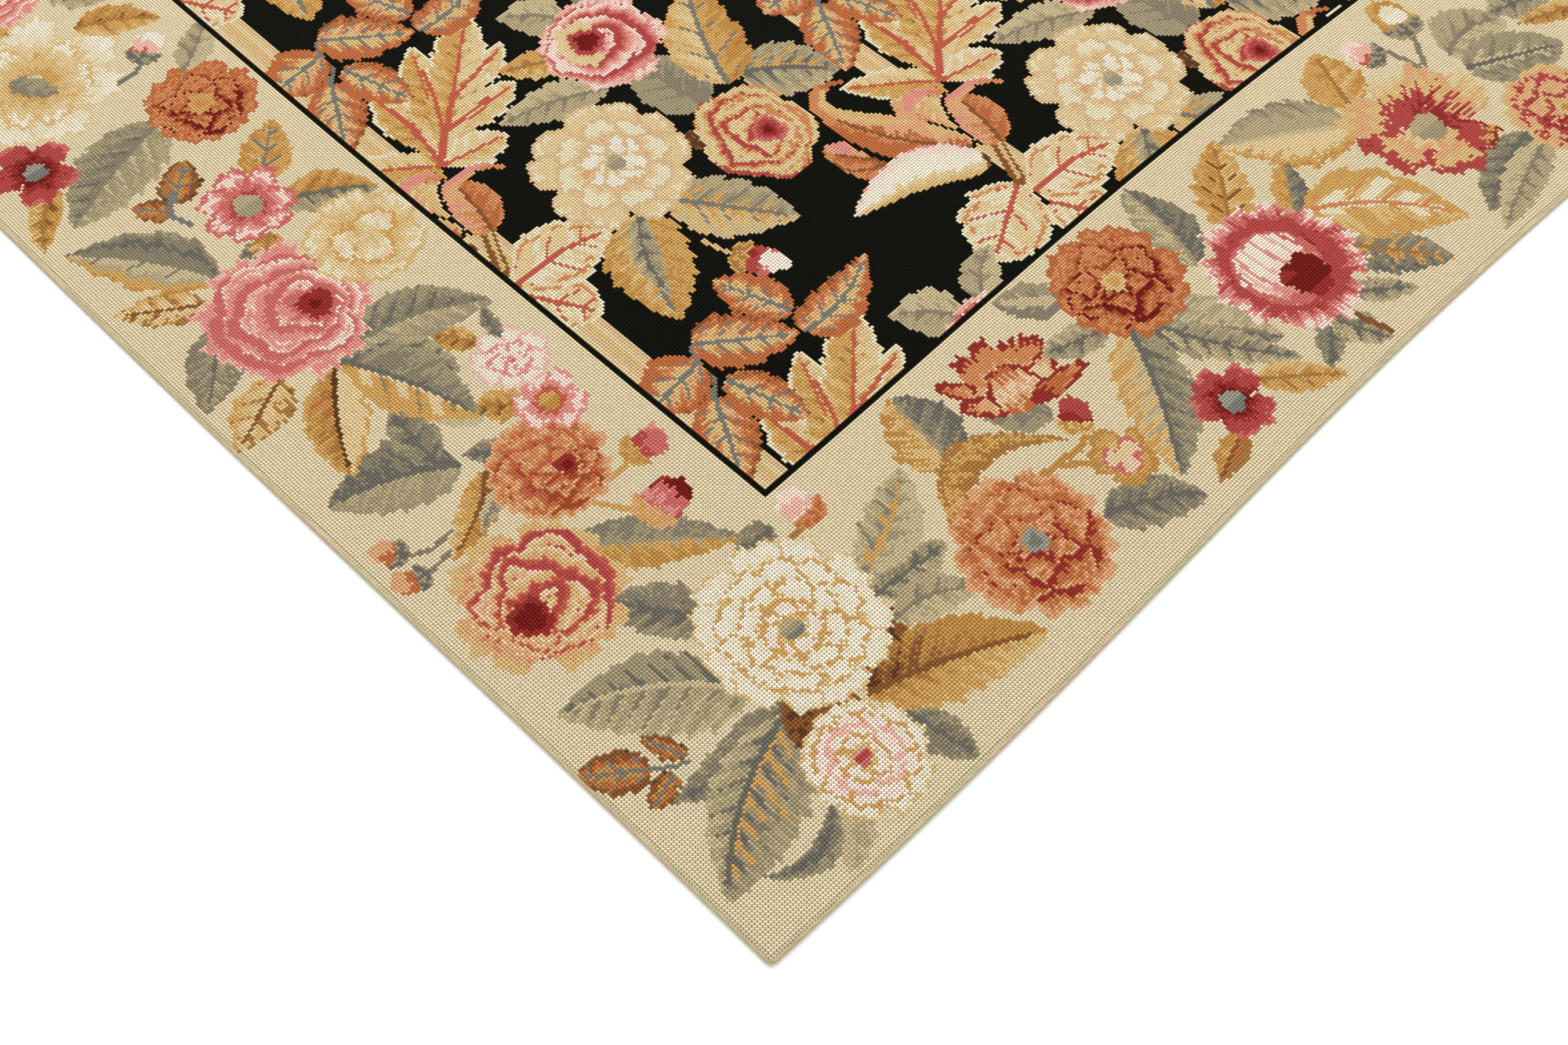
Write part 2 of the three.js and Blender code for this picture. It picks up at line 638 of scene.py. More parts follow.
AUTUMN = BladeDress(
    (UMBER, COPPER, COPPER, APRICOT, PEACH), (COPPER, COPPER, COPPER, APRICOT, STRAW), rib=LEAD, vein=LEAD,
    flush=STRAW, flush_width=1, lean=-1, depth=0.2, grain=0.34,
)
CREAM_LEAF = BladeDress(
    (BUFF, WHEAT, WHEAT, IVORY), (BUFF, WHEAT, IVORY), rib=CORAL, vein=CORAL, rim=IVORY, contour=APRICOT,
    lean=-0.2, depth=0.2,
)
MAPLE = BladeDress(
    (OCHRE, GOLD, HONEY, HONEY, STRAW), (GOLD, STRAW, WHEAT, WHEAT), rib=CORAL, rim=IVORY, depth=0.2,
    lean=0.4, grain=0.36,
)
MAPLE_PALE = BladeDress(
    (HONEY, WHEAT, WHEAT, IVORY), (HONEY, STRAW, WHEAT), rib=CORAL, rim=IVORY, depth=0.2, lean=0.4,
    grain=0.3,
)
MAPLE_BODY = BladeDress((GOLD, HONEY, STRAW), (GOLD, STRAW, WHEAT), depth=0.2, lean=0.2, grain=0.4)
LILY_LEFT = BladeDress(
    (COPPER, COPPER, APRICOT), (COPPER, APRICOT, PEACH, PINK), rib=UMBER, depth=0.15, fade=0.3,
)
LILY_MIDDLE = BladeDress(
    (COPPER, APRICOT, COPPER, COPPER), (APRICOT, COPPER, PEACH, STRAW), rib=UMBER, depth=0.1, lean=0.7,
)
LILY_FAR = BladeDress((COPPER, APRICOT, PEACH), (APRICOT, PEACH, WHEAT), depth=0.1, fade=0.3)
LILY_PINK = BladeDress(
    (COPPER, APRICOT, PEACH, PINK), (COPPER, COPPER, APRICOT), rib=UMBER, depth=0.15, fade=0.3,
)
CRESCENT = BladeDress((STONE, STONE, SAGE), (SLATE, SLATE, STONE), lean=0.5, depth=0, grain=0.2)
TAN_SHADE = BladeDress((SAGE, MIST, FOG), (MIST, FOG, FOG), depth=0.2)
BARE_BROWN = BladeDress((BARK, UMBER), (BARK, UMBER))
GLOBE = PetalDress((ROSE, PINK, PETAL, MILK, MILK), ROSE, 1.2, 0.04, 0, streaks=0.1)
MILK_PETAL = BladeDress(
    (HONEY, STRAW, WHEAT, MILK), (PINK, PETAL, PETAL, MILK, MILK), lean=-0.9, depth=0.1, grain=0.15,
)


def field_spray() -> list[Motif]:
    """The motifs of one repeat of the black field, back ones first.

    Returns:
        The motifs, placed from the tile's lower left corner.
    """
    strands = (WHEAT, BUFF, STRAW, WHEAT, BUFF)
    trunk = [
        Stem(((105.5 + 2 * number, -10), (105.5 + 2 * number, 200)), yarn, 2)
        for number, yarn in enumerate(strands)
    ]
    twigs = [
        Stem(((120, 330), (124, 339), (133, 340)), LEAD, 1.8),
        Stem(((120, 338), (121, 326), (113, 319)), LEAD, 1.8),
        Stem(((142, 333), (154, 328)), LEAD, 1.8),
        Stem(((158, 184), (160, 176), (163, 170)), STRAW, 1.8),
    ]
    autumn = [
        Blade((122, 334), (99, 331), 23, AUTUMN, fullest=0.45, bluntness=0.6),
        Blade((116, 321), (99, 292), 20, AUTUMN, bluntness=0.7),
        Blade((123, 324), (131, 296), 17, AUTUMN, bluntness=0.7),
        Blade((125, 341), (152, 320), 21, AUTUMN, bluntness=0.65, fullest=0.35),
        Blade((157, 328), (148, 354), 18, AUTUMN, bluntness=0.65),
        Blade((154, 320), (191, 328), 19, AUTUMN, fullest=0.28, bend=-3),
    ]
    maple = [
        Blade((118, 267), (104, 262), 9, MAPLE, rim_from=0.4),
        Blade((118, 267), (91, 288), 15, MAPLE, rim_from=0.4),
        Blade((118, 267), (150, 297), 20, MAPLE_BODY, bluntness=0.6),
        Blade((118, 267), (144, 262), 15, MAPLE_PALE, rim_from=0.25, fullest=0.55, teeth=0.3),
        Blade((128, 276), (162, 278), 14, MAPLE_PALE, rim_from=0.42, fullest=0.6, teeth=0.3),
        Blade((138, 284), (171, 295), 12, MAPLE_PALE, rim_from=0.42, fullest=0.6, teeth=0.3),
        Blade((119.5, 267), (122, 307), 15, MAPLE, rim_from=0.5, fullest=0.62, bend=-1),
        Blade((127, 276), (146.5, 316), 18, MAPLE, rim_from=0.4, fullest=0.5),
        Blade((118, 267), (172, 315), 21, MAPLE, rim_from=0.55, fullest=0.62, teeth=0.25),
        Stem(((118.5, 267.5), (121, 277), (123.5, 287), (122.5, 298)), CORAL, 1.4),
        Stem(((119, 268), (129, 278), (137, 292), (142, 304)), CORAL, 1.5),
        Stem(((119, 267.5), (129.5, 277.5), (143, 289)), CORAL, 2.2),
        Stem(((129.5, 277.5), (150, 279)), CORAL, 1.5),
        Stem(((142, 288), (164, 293)), CORAL, 1.5),
    ]
    grey_side = BladeDress((STONE, SAGE, SAGE), (STONE, STONE, SAGE), rib=STONE)
    under_dahlia = [
        Blade(
            (153, 206), (130, 166), 29,
            BladeDress((HONEY, GOLD, HONEY), (FOG, STRAW, HONEY, GOLD), rib=LEAD), bend=-3,
        ),
        Blade((151, 206), (135, 175), 10, GREY, bend=-3, teeth=0),
        Blade(
            (162, 206), (188, 169), 26,
            BladeDress(
                (STONE, SAGE, MIST), (GOLD, HONEY, STRAW, FOG), rib=LEAD, vein=STONE, flush=HONEY,
                depth=0.3,
            ),
            veins=5,
        ),
    ]
    tan_shell = PetalDress((PEACH, BUFF, WHEAT, WHEAT, IVORY), BUFF, 1.4, ruffle=0.08, notch=0.12)
    cream_shell = PetalDress((PEACH, WHEAT, IVORY, IVORY), BUFF, 1.4, ruffle=0.08, notch=0.15)
    milk_shell = PetalDress((BUFF, IVORY, MILK, MILK), BUFF, 1.3, ruffle=0.1, notch=0.15)
    dahlia = Rosette(
        (161, 228),
        (
            Ring(10, 11, 28.5, 16.5, tan_shell, 0.1), Ring(8, 7, 21, 14, cream_shell, 0.45),
            Ring(8, -1.5, 13.5, 8.5, milk_shell, 0.1),
        ),
        heart=(PEWTER, SAGE, MIST), heart_radius=3.3,
    )
    rose = Rose(
        (204, 205.5), 20, (4, -2), 5.5,
        RoseDress((CRIMSON, APRICOT, STRAW, WHEAT, WHEAT, STRAW, APRICOT), (WINE, BRICK, CRIMSON, ROSE)),
        folds=3.8, lobes=5, stretch=1.14, shade=0.2, shade_from=170, strokes=0.16, petals=3.5, arch=0.5,
    )
    pink_rose = Rose(
        (195, 272), 21, (-3, 4), 6.5,
        RoseDress(
            (CRIMSON, ROSE, PINK, BLUSH, PETAL, PETAL), (WINE, WINE, CRIMSON), collar=(HONEY, STRAW, WHEAT),
        ),
        folds=3, lobes=5, stretch=0.92, shade=0.2, shade_from=-30,
        outer=Ring(7, 8, 23.5, 17, PetalDress((CRIMSON, ROSE, PINK, PETAL), BLUSH, ruffle=0.2), 0.4),
    )
    rose_leaves = [
        Blade((200, 226), (197, 259), 25, grey_side, bluntness=0.55, teeth=0.05),
        Blade((220, 229), (245, 206), 25, GREY_FLUSH, bluntness=0.7, bend=2),
        Blade(
            (213, 228), (236, 271), 29,
            BladeDress(
                (GOLD, HONEY, STRAW, WHEAT), (COPPER, GOLD, HONEY), rib=LEAD, vein=LEAD, lean=-0.4,
                depth=0.3,
            ),
            bend=2, bluntness=0.7, veins=4,
        ),
        Blade((182, 254), (144, 268), 17, PALE_GREY, bend=-2),
        Blade((184, 274), (160, 286), 14, BRIGHT_GOLD),
        Blade((194, 288), (177, 306), 19, PALE_GREY, bend=-2),
        Blade((202, 289), (222, 303), 14, PALE_GREY, bend=2),
        Blade((187, 222), (187, 211), 8, BARE_BROWN, teeth=0),
    ]
    gap = BladeDress((NIGHT,), (NIGHT,))
    lily = [
        Stem(((255, 158), (258, 146), (251, 131)), UMBER, 4.6),
        Stem(((255, 158), (258.5, 146), (252, 132)), STRAW, 1.6),
        Blade((241, 155), (214, 184.5), 21, LILY_LEFT, bend=3, bluntness=0.5, teeth=0, veins=3),
        Stem(((229, 166), (220, 167), (213.5, 172), (213, 178)), UMBER, 1),
        Blade((253, 150), (248, 184), 18, LILY_FAR, bluntness=0.5, teeth=0, veins=3),
        Stem(((254, 153), (255, 164), (256.5, 174)), STRAW, 5.4),
        Stem(((255, 154), (256, 166), (258, 174)), WHEAT, 2.4),
        Stem(((247, 176), (250, 180), (256, 180)), PEACH, 5.4),
        Stem(((248.5, 178), (252, 181), (257, 180), (261, 177)), PINK, 3.4),
        Stem(((259, 178), (263, 175)), APRICOT, 1.6),
        Blade((259.5, 146), (263, 174), 19, gap, bend=-2, bluntness=0.5, teeth=0),
        Blade((259.5, 146), (263, 173), 17, LILY_PINK, bend=-2, bluntness=0.55, teeth=0, veins=3),
        Stem(((259, 167), (264, 170.5), (271, 170.5)), PEACH, 4.2),
        Stem(((264, 171.5), (271, 171.5), (277, 169)), PINK, 2.6),
        Stem(((275, 169), (278.5, 167), (280.5, 164.5)), APRICOT, 1.8),
        Blade((251.5, 150), (225, 199), 21, gap, bend=4, bluntness=0.55, teeth=0),
        Blade((251, 151), (226, 198), 18.5, LILY_MIDDLE, bend=4, bluntness=0.55, teeth=0, veins=3),
        Stem(((225.8, 192), (226.5, 199), (230, 203.4), (235, 204.6)), APRICOT, 4.6),
        Stem(((235, 204.6), (239, 203.4), (241.5, 201.6)), COPPER, 2),
        Stem(((246, 170), (240, 178), (233, 185), (229, 193), (229.2, 199)), PEACH, 4),
        Stem(((244, 173), (236, 182), (230, 190), (229.6, 199), (233.5, 203)), STRAW, 2.2),
        Blade((252, 146), (243, 143), 7, BARE_BROWN, teeth=0),
        Blade((250, 145), (201, 158), 18, MILK_PETAL, bend=-6, fullest=0.3, bluntness=0.6, teeth=0),
    ]
    cream = [
        Blade((251, 118), (263, 97), 24, CREAM_LEAF, bluntness=0.6, veins=3),
        Blade((250, 130), (219, 114), 31, CREAM_LEAF, bluntness=0.55, fullest=0.5, veins=3),
        Blade((251, 124), (288, 119), 27, CREAM_LEAF, bend=3, bluntness=0.6, veins=3),
    ]
    bud = [
        Bud((165, 166.5), -60, 15, ((BRICK, CRIMSON, ROSE), (BRICK, CRIMSON, ROSE)), sepal=(OCHRE, HONEY)),
        Blade((165.5, 166), (172, 157.5), 8, BladeDress((MILK,), (MILK,)), teeth=0.5, bluntness=0.6),
    ]
    return [
        *trunk,
        *maple,
        *twigs,
        *autumn,
        *cream,
        *lily,
        *under_dahlia,
        *rose_leaves,
        pink_rose,
        dahlia,
        rose,
        *bud,
    ]


def ragged_flower(
    place: Place,
    radius: float,
    tones: Tones,
    gap: Yarn,
    heart: Tones,
    heart_radius: float = 4,
    heart_at: Place = (0, 0),
    start: float = 0,
) -> Rose:
    """A full ragged flower: short arched folds inside a ring of broad petals with dark gaps.

    Args:
        place: Its middle.
        radius: Its size in stitches.
        tones: Its petals' yarns.
        gap: The dark yarn between its petals.
        heart: The yarns of its heart.
        heart_radius: The heart's size in stitches.
        heart_at: The heart, from the middle.
        start: Turn of the outer petals in radians.

    Returns:
        The flower.
    """
    outer = PetalDress((gap, gap, *tones), tones[-1], edge_width=1, ruffle=0.13, notch=0.3)
    return Rose(
        place, 0.78 * radius, heart_at, heart_radius, RoseDress((gap, *tones, tones[-2]), heart), folds=2.7,
        lobes=9, petals=5, arch=0.7, shade=0.2, shade_from=-100, strokes=0.22,
        outer=Ring(9, 0.3 * radius, radius, 0.66 * radius, outer, start),
    )


def daisy(
    place: Place,
    radius: float,
    count: int,
    tones: Tones,
    edge: Yarn | None,
    heart: Tones,
    heart_radius: float,
    start: float = 0,
    fullness: float = 1,
) -> Rosette:
    """An open flower of one ring of petals.

    Args:
        place: Its middle.
        radius: Its size in stitches.
        count: Its number of petals.
        tones: Its petals' yarns.
        edge: The yarn round each petal, or none.
        heart: The yarns of its heart.
        heart_radius: The heart's size in stitches.
        start: Turn of the petals in radians.
        fullness: How broad the petals are.

    Returns:
        The flower.
    """
    dress = PetalDress(tones, edge, edge_width=1.2, ruffle=0.16, notch=0.2)
    width = radius * 4.4 * fullness / count
    return Rosette(place, (Ring(count, 0.12 * radius, radius, width, dress, start),), heart, heart_radius)


def corner_spray() -> list[Motif]:
    """The cluster of flowers in the border's corner.

    Returns:
        The motifs, back ones first, placed from the rug's corner.
    """
    faded = PetalDress((HONEY, STRAW, IVORY, MILK, IVORY), STRAW, edge_width=0.6, ruffle=0.16, notch=0.24)
    lace = PetalDress((HONEY, HONEY, IVORY, MILK, MILK), HONEY, edge_width=0.75, ruffle=0.18, notch=0.26)
    gold_lace = PetalDress((HONEY, STRAW, MILK, PETAL, MILK), HONEY, edge_width=0.9, ruffle=0.16, notch=0.2)
    pink_arc = PetalDress((IVORY, MILK, PETAL), BLUSH, edge_width=1.3, ruffle=0.1, notch=0.2)
    dahlia = Rosette(
        (76, 64.5),
        (
            Ring(11, 14, 29.5, 16, faded, 0.1), Ring(10, 9, 23, 13.5, lace, 0.35),
            Ring(8, 4, 17, 12, lace, 0), Ring(7, 0, 10.5, 8.5, gold_lace, 0.3),
        ),
        heart=(LEAD, SAGE, MIST), heart_radius=3.4,
    )
    peony = Rosette(
        (61, 23),
        (
            Ring(10, 8, 19, 11.5, faded, 0.2), Ring(9, 6, 15.5, 10, gold_lace, 0.5),
            Ring(6, 3, 12, 11, pink_arc, 0.9), Ring(5, 0.5, 8, 8.5, gold_lace, 0.1),
        ),
        heart=(ROSE, CRIMSON, PINK), heart_radius=2.6,
    )
    return [
        Blade((53, 59), (9.5, 89.5), 27, SAGE_LEAF, bend=-5.5, balance=0.2),
        Blade((62, 82), (44, 108), 19, DARK_GREY, bluntness=0.7),
        Blade((58, 50), (14, 49), 16, DARK_GREY, bend=4),
        Blade((55, 47), (5, 18), 27, GREY_FLUSH, bend=-4.5, balance=0.3),
        Blade((48, 17), (34, 2), 11, TAN_SHADE, bend=2),
        Blade((46, 20), (16, 17.5), 8, CRESCENT, bend=8, teeth=0),
        Blade((80, 24), (84, 1), 14, DARK_GREY, bluntness=0.7),
        Blade((96, 92), (82, 93), 11, DARK_GREY, bluntness=0.6),
        Blade((17, 60.5), (0.5, 72.5), 14, BROWN_LEAF, fullest=0.4, bluntness=0.6, veins=3),
        Blade((26.5, 56.5), (21.5, 69), 7, BROWN_LEAF, bluntness=0.6),
        Blade((20.5, 55), (9, 51.5), 8, BROWN_LEAF, bluntness=0.55),
        Stem(((16, 61), (22, 56.5), (26, 55)), LEAD, 1.4),
        Blade((66, 49), (50, 37), 12, BARE_BROWN, teeth=0),
        Blade((61, 48), (74, 36), 11, BladeDress((COPPER, UMBER), (OCHRE, UMBER)), teeth=0),
        Blade((103, 49), (78, 36), 10, BARE_BROWN, teeth=0),
        Blade((76, 36), (128, 13), 26, RUST_GOLD, bend=2),
        Stem(((89, 83), (97, 86), (106, 86)), OCHRE, 1.8),
        Bud(
            (107, 92), 100, 14, ((PINK, PETAL, BLUSH, MILK), (PETAL, BLUSH, PETAL)),
            sepal=(COPPER, APRICOT),
        ),
        dahlia,
        peony,
    ]


def bottom_spray() -> list[Motif]:
    """The run of flowers along the bottom border, to the right of the corner.

    Returns:
        The motifs, back ones first, placed from the rug's corner.
    """
    flame = PetalDress((WHEAT, PEACH, APRICOT, APRICOT, BRICK), None, ruffle=0.2, notch=0.3)
    tongue = PetalDress((BRICK, COPPER, APRICOT), BRICK, 0.9, ruffle=0.12, notch=0)
    lotus = [
        Rosette(
            (184, 69),
            (
                Ring(1, 13, 28, 6.5, PetalDress((PEACH, APRICOT, COPPER), BRICK, 1.2), 2.13),
                Ring(1, 3, 21, 8, PetalDress((WHEAT, PEACH, APRICOT), BRICK, 1.3), 2.42),
                Ring(1, 6, 28, 12, flame, 0.68), Ring(1, 8, 27, 10, flame, 1),
                Ring(1, 8, 32, 10, flame, 1.36), Ring(1, 8, 31, 9.5, flame, 1.7),
                Ring(1, 4, 23, 9, PetalDress((WHEAT, WHEAT, PEACH), BRICK, 1.1), 0.4),
                Ring(1, -3, 16.5, 18, PetalDress((COPPER, PEACH, SHELL, PEACH, COPPER), BRICK, 1.2), 1.36),
            ),
            heart_radius=0,
        ),
        Rosette((184, 69), (Ring(1, 1, 23, 7.5, tongue, -0.08),), heart_radius=0),
    ]
    gold_bud = Rosette(
        (190, 37),
        (
            Ring(5, 2, 11.5, 10, PetalDress((STRAW, HONEY, GOLD), GOLD), 0.2),
            Ring(3, 0, 7, 8, PetalDress((WHEAT, SHELL), ROSE, 1), 0.4),
        ),
        heart=(SHELL, WHEAT), heart_radius=2.6,
    )
    lily_petals = (
        (2.68, 4, 27, 13, PetalDress((BRICK, CRIMSON, BRICK, CRIMSON), ruffle=0.2)),
        (2.2, 3, 29, 19, PetalDress((CRIMSON, CRIMSON, STRAW, PEACH, STRAW), ruffle=0.2)),
        (1.3, 3, 25, 16, PetalDress((CRIMSON, CRIMSON, STRAW, WHEAT), ruffle=0.2)),
        (0.72, 3, 29, 15, PetalDress((BRICK, CRIMSON, STRAW, PEACH), ruffle=0.2, streaks=0.3)),
        (0.1, 3, 32, 17, PetalDress((BRICK, CRIMSON, PEACH, STRAW, WHEAT), ruffle=0.2, streaks=0.34)),
        (-0.96, 3, 25, 14, PetalDress((BRICK, CRIMSON, CRIMSON, HONEY), BRICK, 1.1, ruffle=0.2)),
        (-1.86, 3, 25, 20, PetalDress((STRAW, PEACH, STRAW, CRIMSON), CRIMSON, 2.4, 0.2)),
        (3.2, 3, 26, 19, PetalDress((WHEAT, PEACH, STRAW, CRIMSON), CRIMSON, 2.4, 0.2)),
    )
    lily = Rosette(
        (367.5, 51.5),
        tuple((Ring(1, near, far, width, dress, start) for start, near, far, width, dress in lily_petals)),
        heart=(SAGE, MIST), heart_radius=6,
    )
    frill = PetalDress(
        (WINE, BRICK, CRIMSON, CRIMSON, ROSE, PINK, PETAL), None, ruffle=0.22, notch=0.3, streaks=0.2,
    )
    inner_frill = PetalDress((WINE, BRICK, CRIMSON, CRIMSON), None, ruffle=0.2, notch=0.25)
    globe_rose = [
        Rosette(
            (284, 50), (Ring(8, 8, 28, 19, frill, 0.2), Ring(7, 4, 21, 15, inner_frill, 0.5)),
            heart_radius=0,
        ),
        Rosette((282.5, 48.5), (Ring(1, -15, 15, 30, GLOBE, 1.75),), heart_radius=0),
        Stem(((270.5, 56), (269, 48), (272, 40), (278, 34)), ROSE, 1.3),
        Stem(((272.5, 57), (271.5, 49), (274, 42)), BLUSH, 1.3),
        Stem(((275, 60.5), (274, 52), (276, 44)), PINK, 1.3),
        Stem(((279, 62), (279, 54), (280, 47)), BLUSH, 1.3),
        Stem(((284, 62.5), (284.5, 55), (285, 49)), PINK, 1.3),
        Stem(((289, 61), (290, 54), (290, 48)), BLUSH, 1.3),
        Stem(((293, 58), (295, 50), (294, 42)), ROSE, 1.3),
        Rosette((286.5, 41), (), heart=(BRICK, WINE, WINE, WINE), heart_radius=8),
        Rosette((281, 44), (), heart=(WINE, BRICK), heart_radius=3.4),
        Rosette((290, 46), (), heart=(WINE, WINE), heart_radius=3.4),
    ]
    return [
        Blade((101, 56), (129, 53), 15, GREY, bluntness=0.7),
        Blade(
            (104, 63), (139, 80), 19,
            BladeDress((STONE, SAGE, MIST, FOG), (SAGE, MIST, FOG, FOG), flush=HONEY, flush_side=1),
            bend=-3,
        ),
        Blade((99, 47), (125, 36), 15, PALE_GREY, bend=3),
        Blade(
            (151, 70), (155, 100), 25, BladeDress((HONEY, STRAW, GOLD), (SAGE, STONE, SLATE), rib=SAGE),
            bluntness=0.6,
        ),
        Blade((130, 47), (183, 51), 13, BladeDress((GOLD, HONEY, OCHRE), (HONEY, OCHRE)), bend=20),
        Stem(((164, 50), (182, 48), (191, 51)), GOLD, 2.2),
        Stem(((174, 48), (182, 41)), GOLD, 2.2),
        Blade((169, 28), (197, 11), 18, DARK_GREY, bend=2, bluntness=0.7),
        ragged_flower((148, 36), 26, (COPPER, COPPER, APRICOT, PEACH), BRICK, (LEAD, PEWTER)),
        Blade((187, 62), (170, 75), 13, BladeDress((STONE, SAGE), (SAGE, STONE))),
        *lotus,
        Bud((191, 57), 40, 13, ((WINE, BRICK, CRIMSON), (BRICK, CRIMSON)), sepal=(GOLD, STRAW)),
        gold_bud,
        Blade(
            (229, 66), (196, 21), 25,
            BladeDress((SLATE, STONE, SAGE), (MIST, FOG, STRAW, HONEY), rib=SLATE), bend=2,
        ),
        Blade(
            (232, 64), (261, 31), 25, BladeDress((SAGE, FOG, MIST), (STONE, SLATE, SAGE), rib=STONE),
            bend=2,
        ),
        Blade((236, 62), (259, 22), 13, GREY, bend=-2),
        Blade((223, 88), (205, 103), 15, BladeDress((SAGE, STONE), (STONE, SAGE), flush=FOG)),
        Blade((224, 71), (201, 79), 12, GREY, bluntness=0.6),
        Blade(
            (264, 68), (272, 105), 20, BladeDress((MIST, FOG, SAGE), (STONE, SLATE, STONE), rib=SAGE),
            bend=-2,
        ),
        ragged_flower((240, 82), 24, (RUST, COPPER, APRICOT, COPPER), WINE, (HONEY, STRAW), start=0.3),
        Blade((223, 18), (203, 12), 10, BladeDress((COPPER, OCHRE), (HONEY, GOLD), rib=UMBER)),
        Blade((241, 28), (264, 9), 12, BRIGHT_GOLD),
        daisy(
            (229.5, 27), 15, 5, (WINE, BRICK, CRIMSON, CRIMSON, ROSE), None, (LEAD, PEWTER), 4.2, 1.5, 0.85,
        ),
        Blade(
            (283, 68), (311, 98), 19,
            BladeDress((HONEY, GOLD, HONEY), (GOLD, STRAW, HONEY), rib=OCHRE, vein=UMBER), teeth=0.3,
        ),
        Blade((303, 58), (321, 77), 12, BladeDress((GOLD, HONEY), (SAGE, STONE, SLATE))),
        Blade((305, 48), (335, 32), 10, BARE_BROWN),
        Blade(
            (304, 43), (326, 13), 20,
            BladeDress((HONEY, STONE, SAGE), (GOLD, HONEY, STONE, SLATE), rib=OCHRE),
        ),
        Blade((290, 28), (308, 14), 10, GREY),
        Blade((279, 26), (261, 14), 10, DARK_GREY),
        Blade((277, 26), (285, 7), 13, GREY),
        Stem(((282, 28), (285, 18), (287, 10)), UMBER, 2.4),
        Blade(
            (307, 58), (344, 20), 30,
            BladeDress(
                (GOLD, HONEY, HONEY, STRAW), (GOLD, HONEY, STRAW), rib=APRICOT, vein=APRICOT, flush=IVORY,
                depth=0.1, lean=-0.3, grain=0.2, flush_width=3.2,
            ),
            bend=5, fullest=0.38, veins=4,
        ),
        *globe_rose,
        Blade(
            (351, 69), (310, 94), 30,
            BladeDress(
                (GOLD, HONEY, WHEAT, WHEAT), (STONE, SAGE, MIST, MIST), rib=FOG, depth=0.2, lean=-0.9,
                grain=0.26,
            ),
            bend=-1,
        ),
        Blade((356, 74), (368, 99), 22, BladeDress((GOLD, HONEY), (STRAW, HONEY, GOLD), rib=OCHRE)),
        Blade((390, 28), (351, 15), 17, DARK_GREY, bend=-2),
        Blade((392, 22), (348, 8), 14, PALE_GREY, bend=-1),
        Blade((401, 66), (430, 64), 24, PALE_GREY, bend=4, bluntness=0.6),
        Blade(
            (400, 58), (434, 43), 24,
            BladeDress((STONE, SAGE, SAGE), (SAGE, STONE, SAGE), rib=SLATE, flush=FOG), bluntness=0.6,
        ),
        Blade((452, 62), (427, 68), 18, GREY),
        Blade((456, 49), (431, 58), 9, GOLD_LEAF),
        Stem(((387, 82), (389, 70)), STONE, 2),
        Stem(((399, 79), (391, 69)), STONE, 2),
        Bud((380, 87), 120, 14, ((PETAL, MILK), (CORAL, BLUSH, PETAL))),
        Bud((402, 90), 80, 18, ((HONEY, GOLD, HONEY), (GOLD, HONEY, GOLD))),
        Rosette((403, 91), (), heart=(MILK, IVORY), heart_radius=4.6),
        lily,
        ragged_flower((409, 24), 21.5, (CRIMSON, CRIMSON, PEACH, STRAW), BRICK, (GOLD, STRAW), start=0.6),
    ]


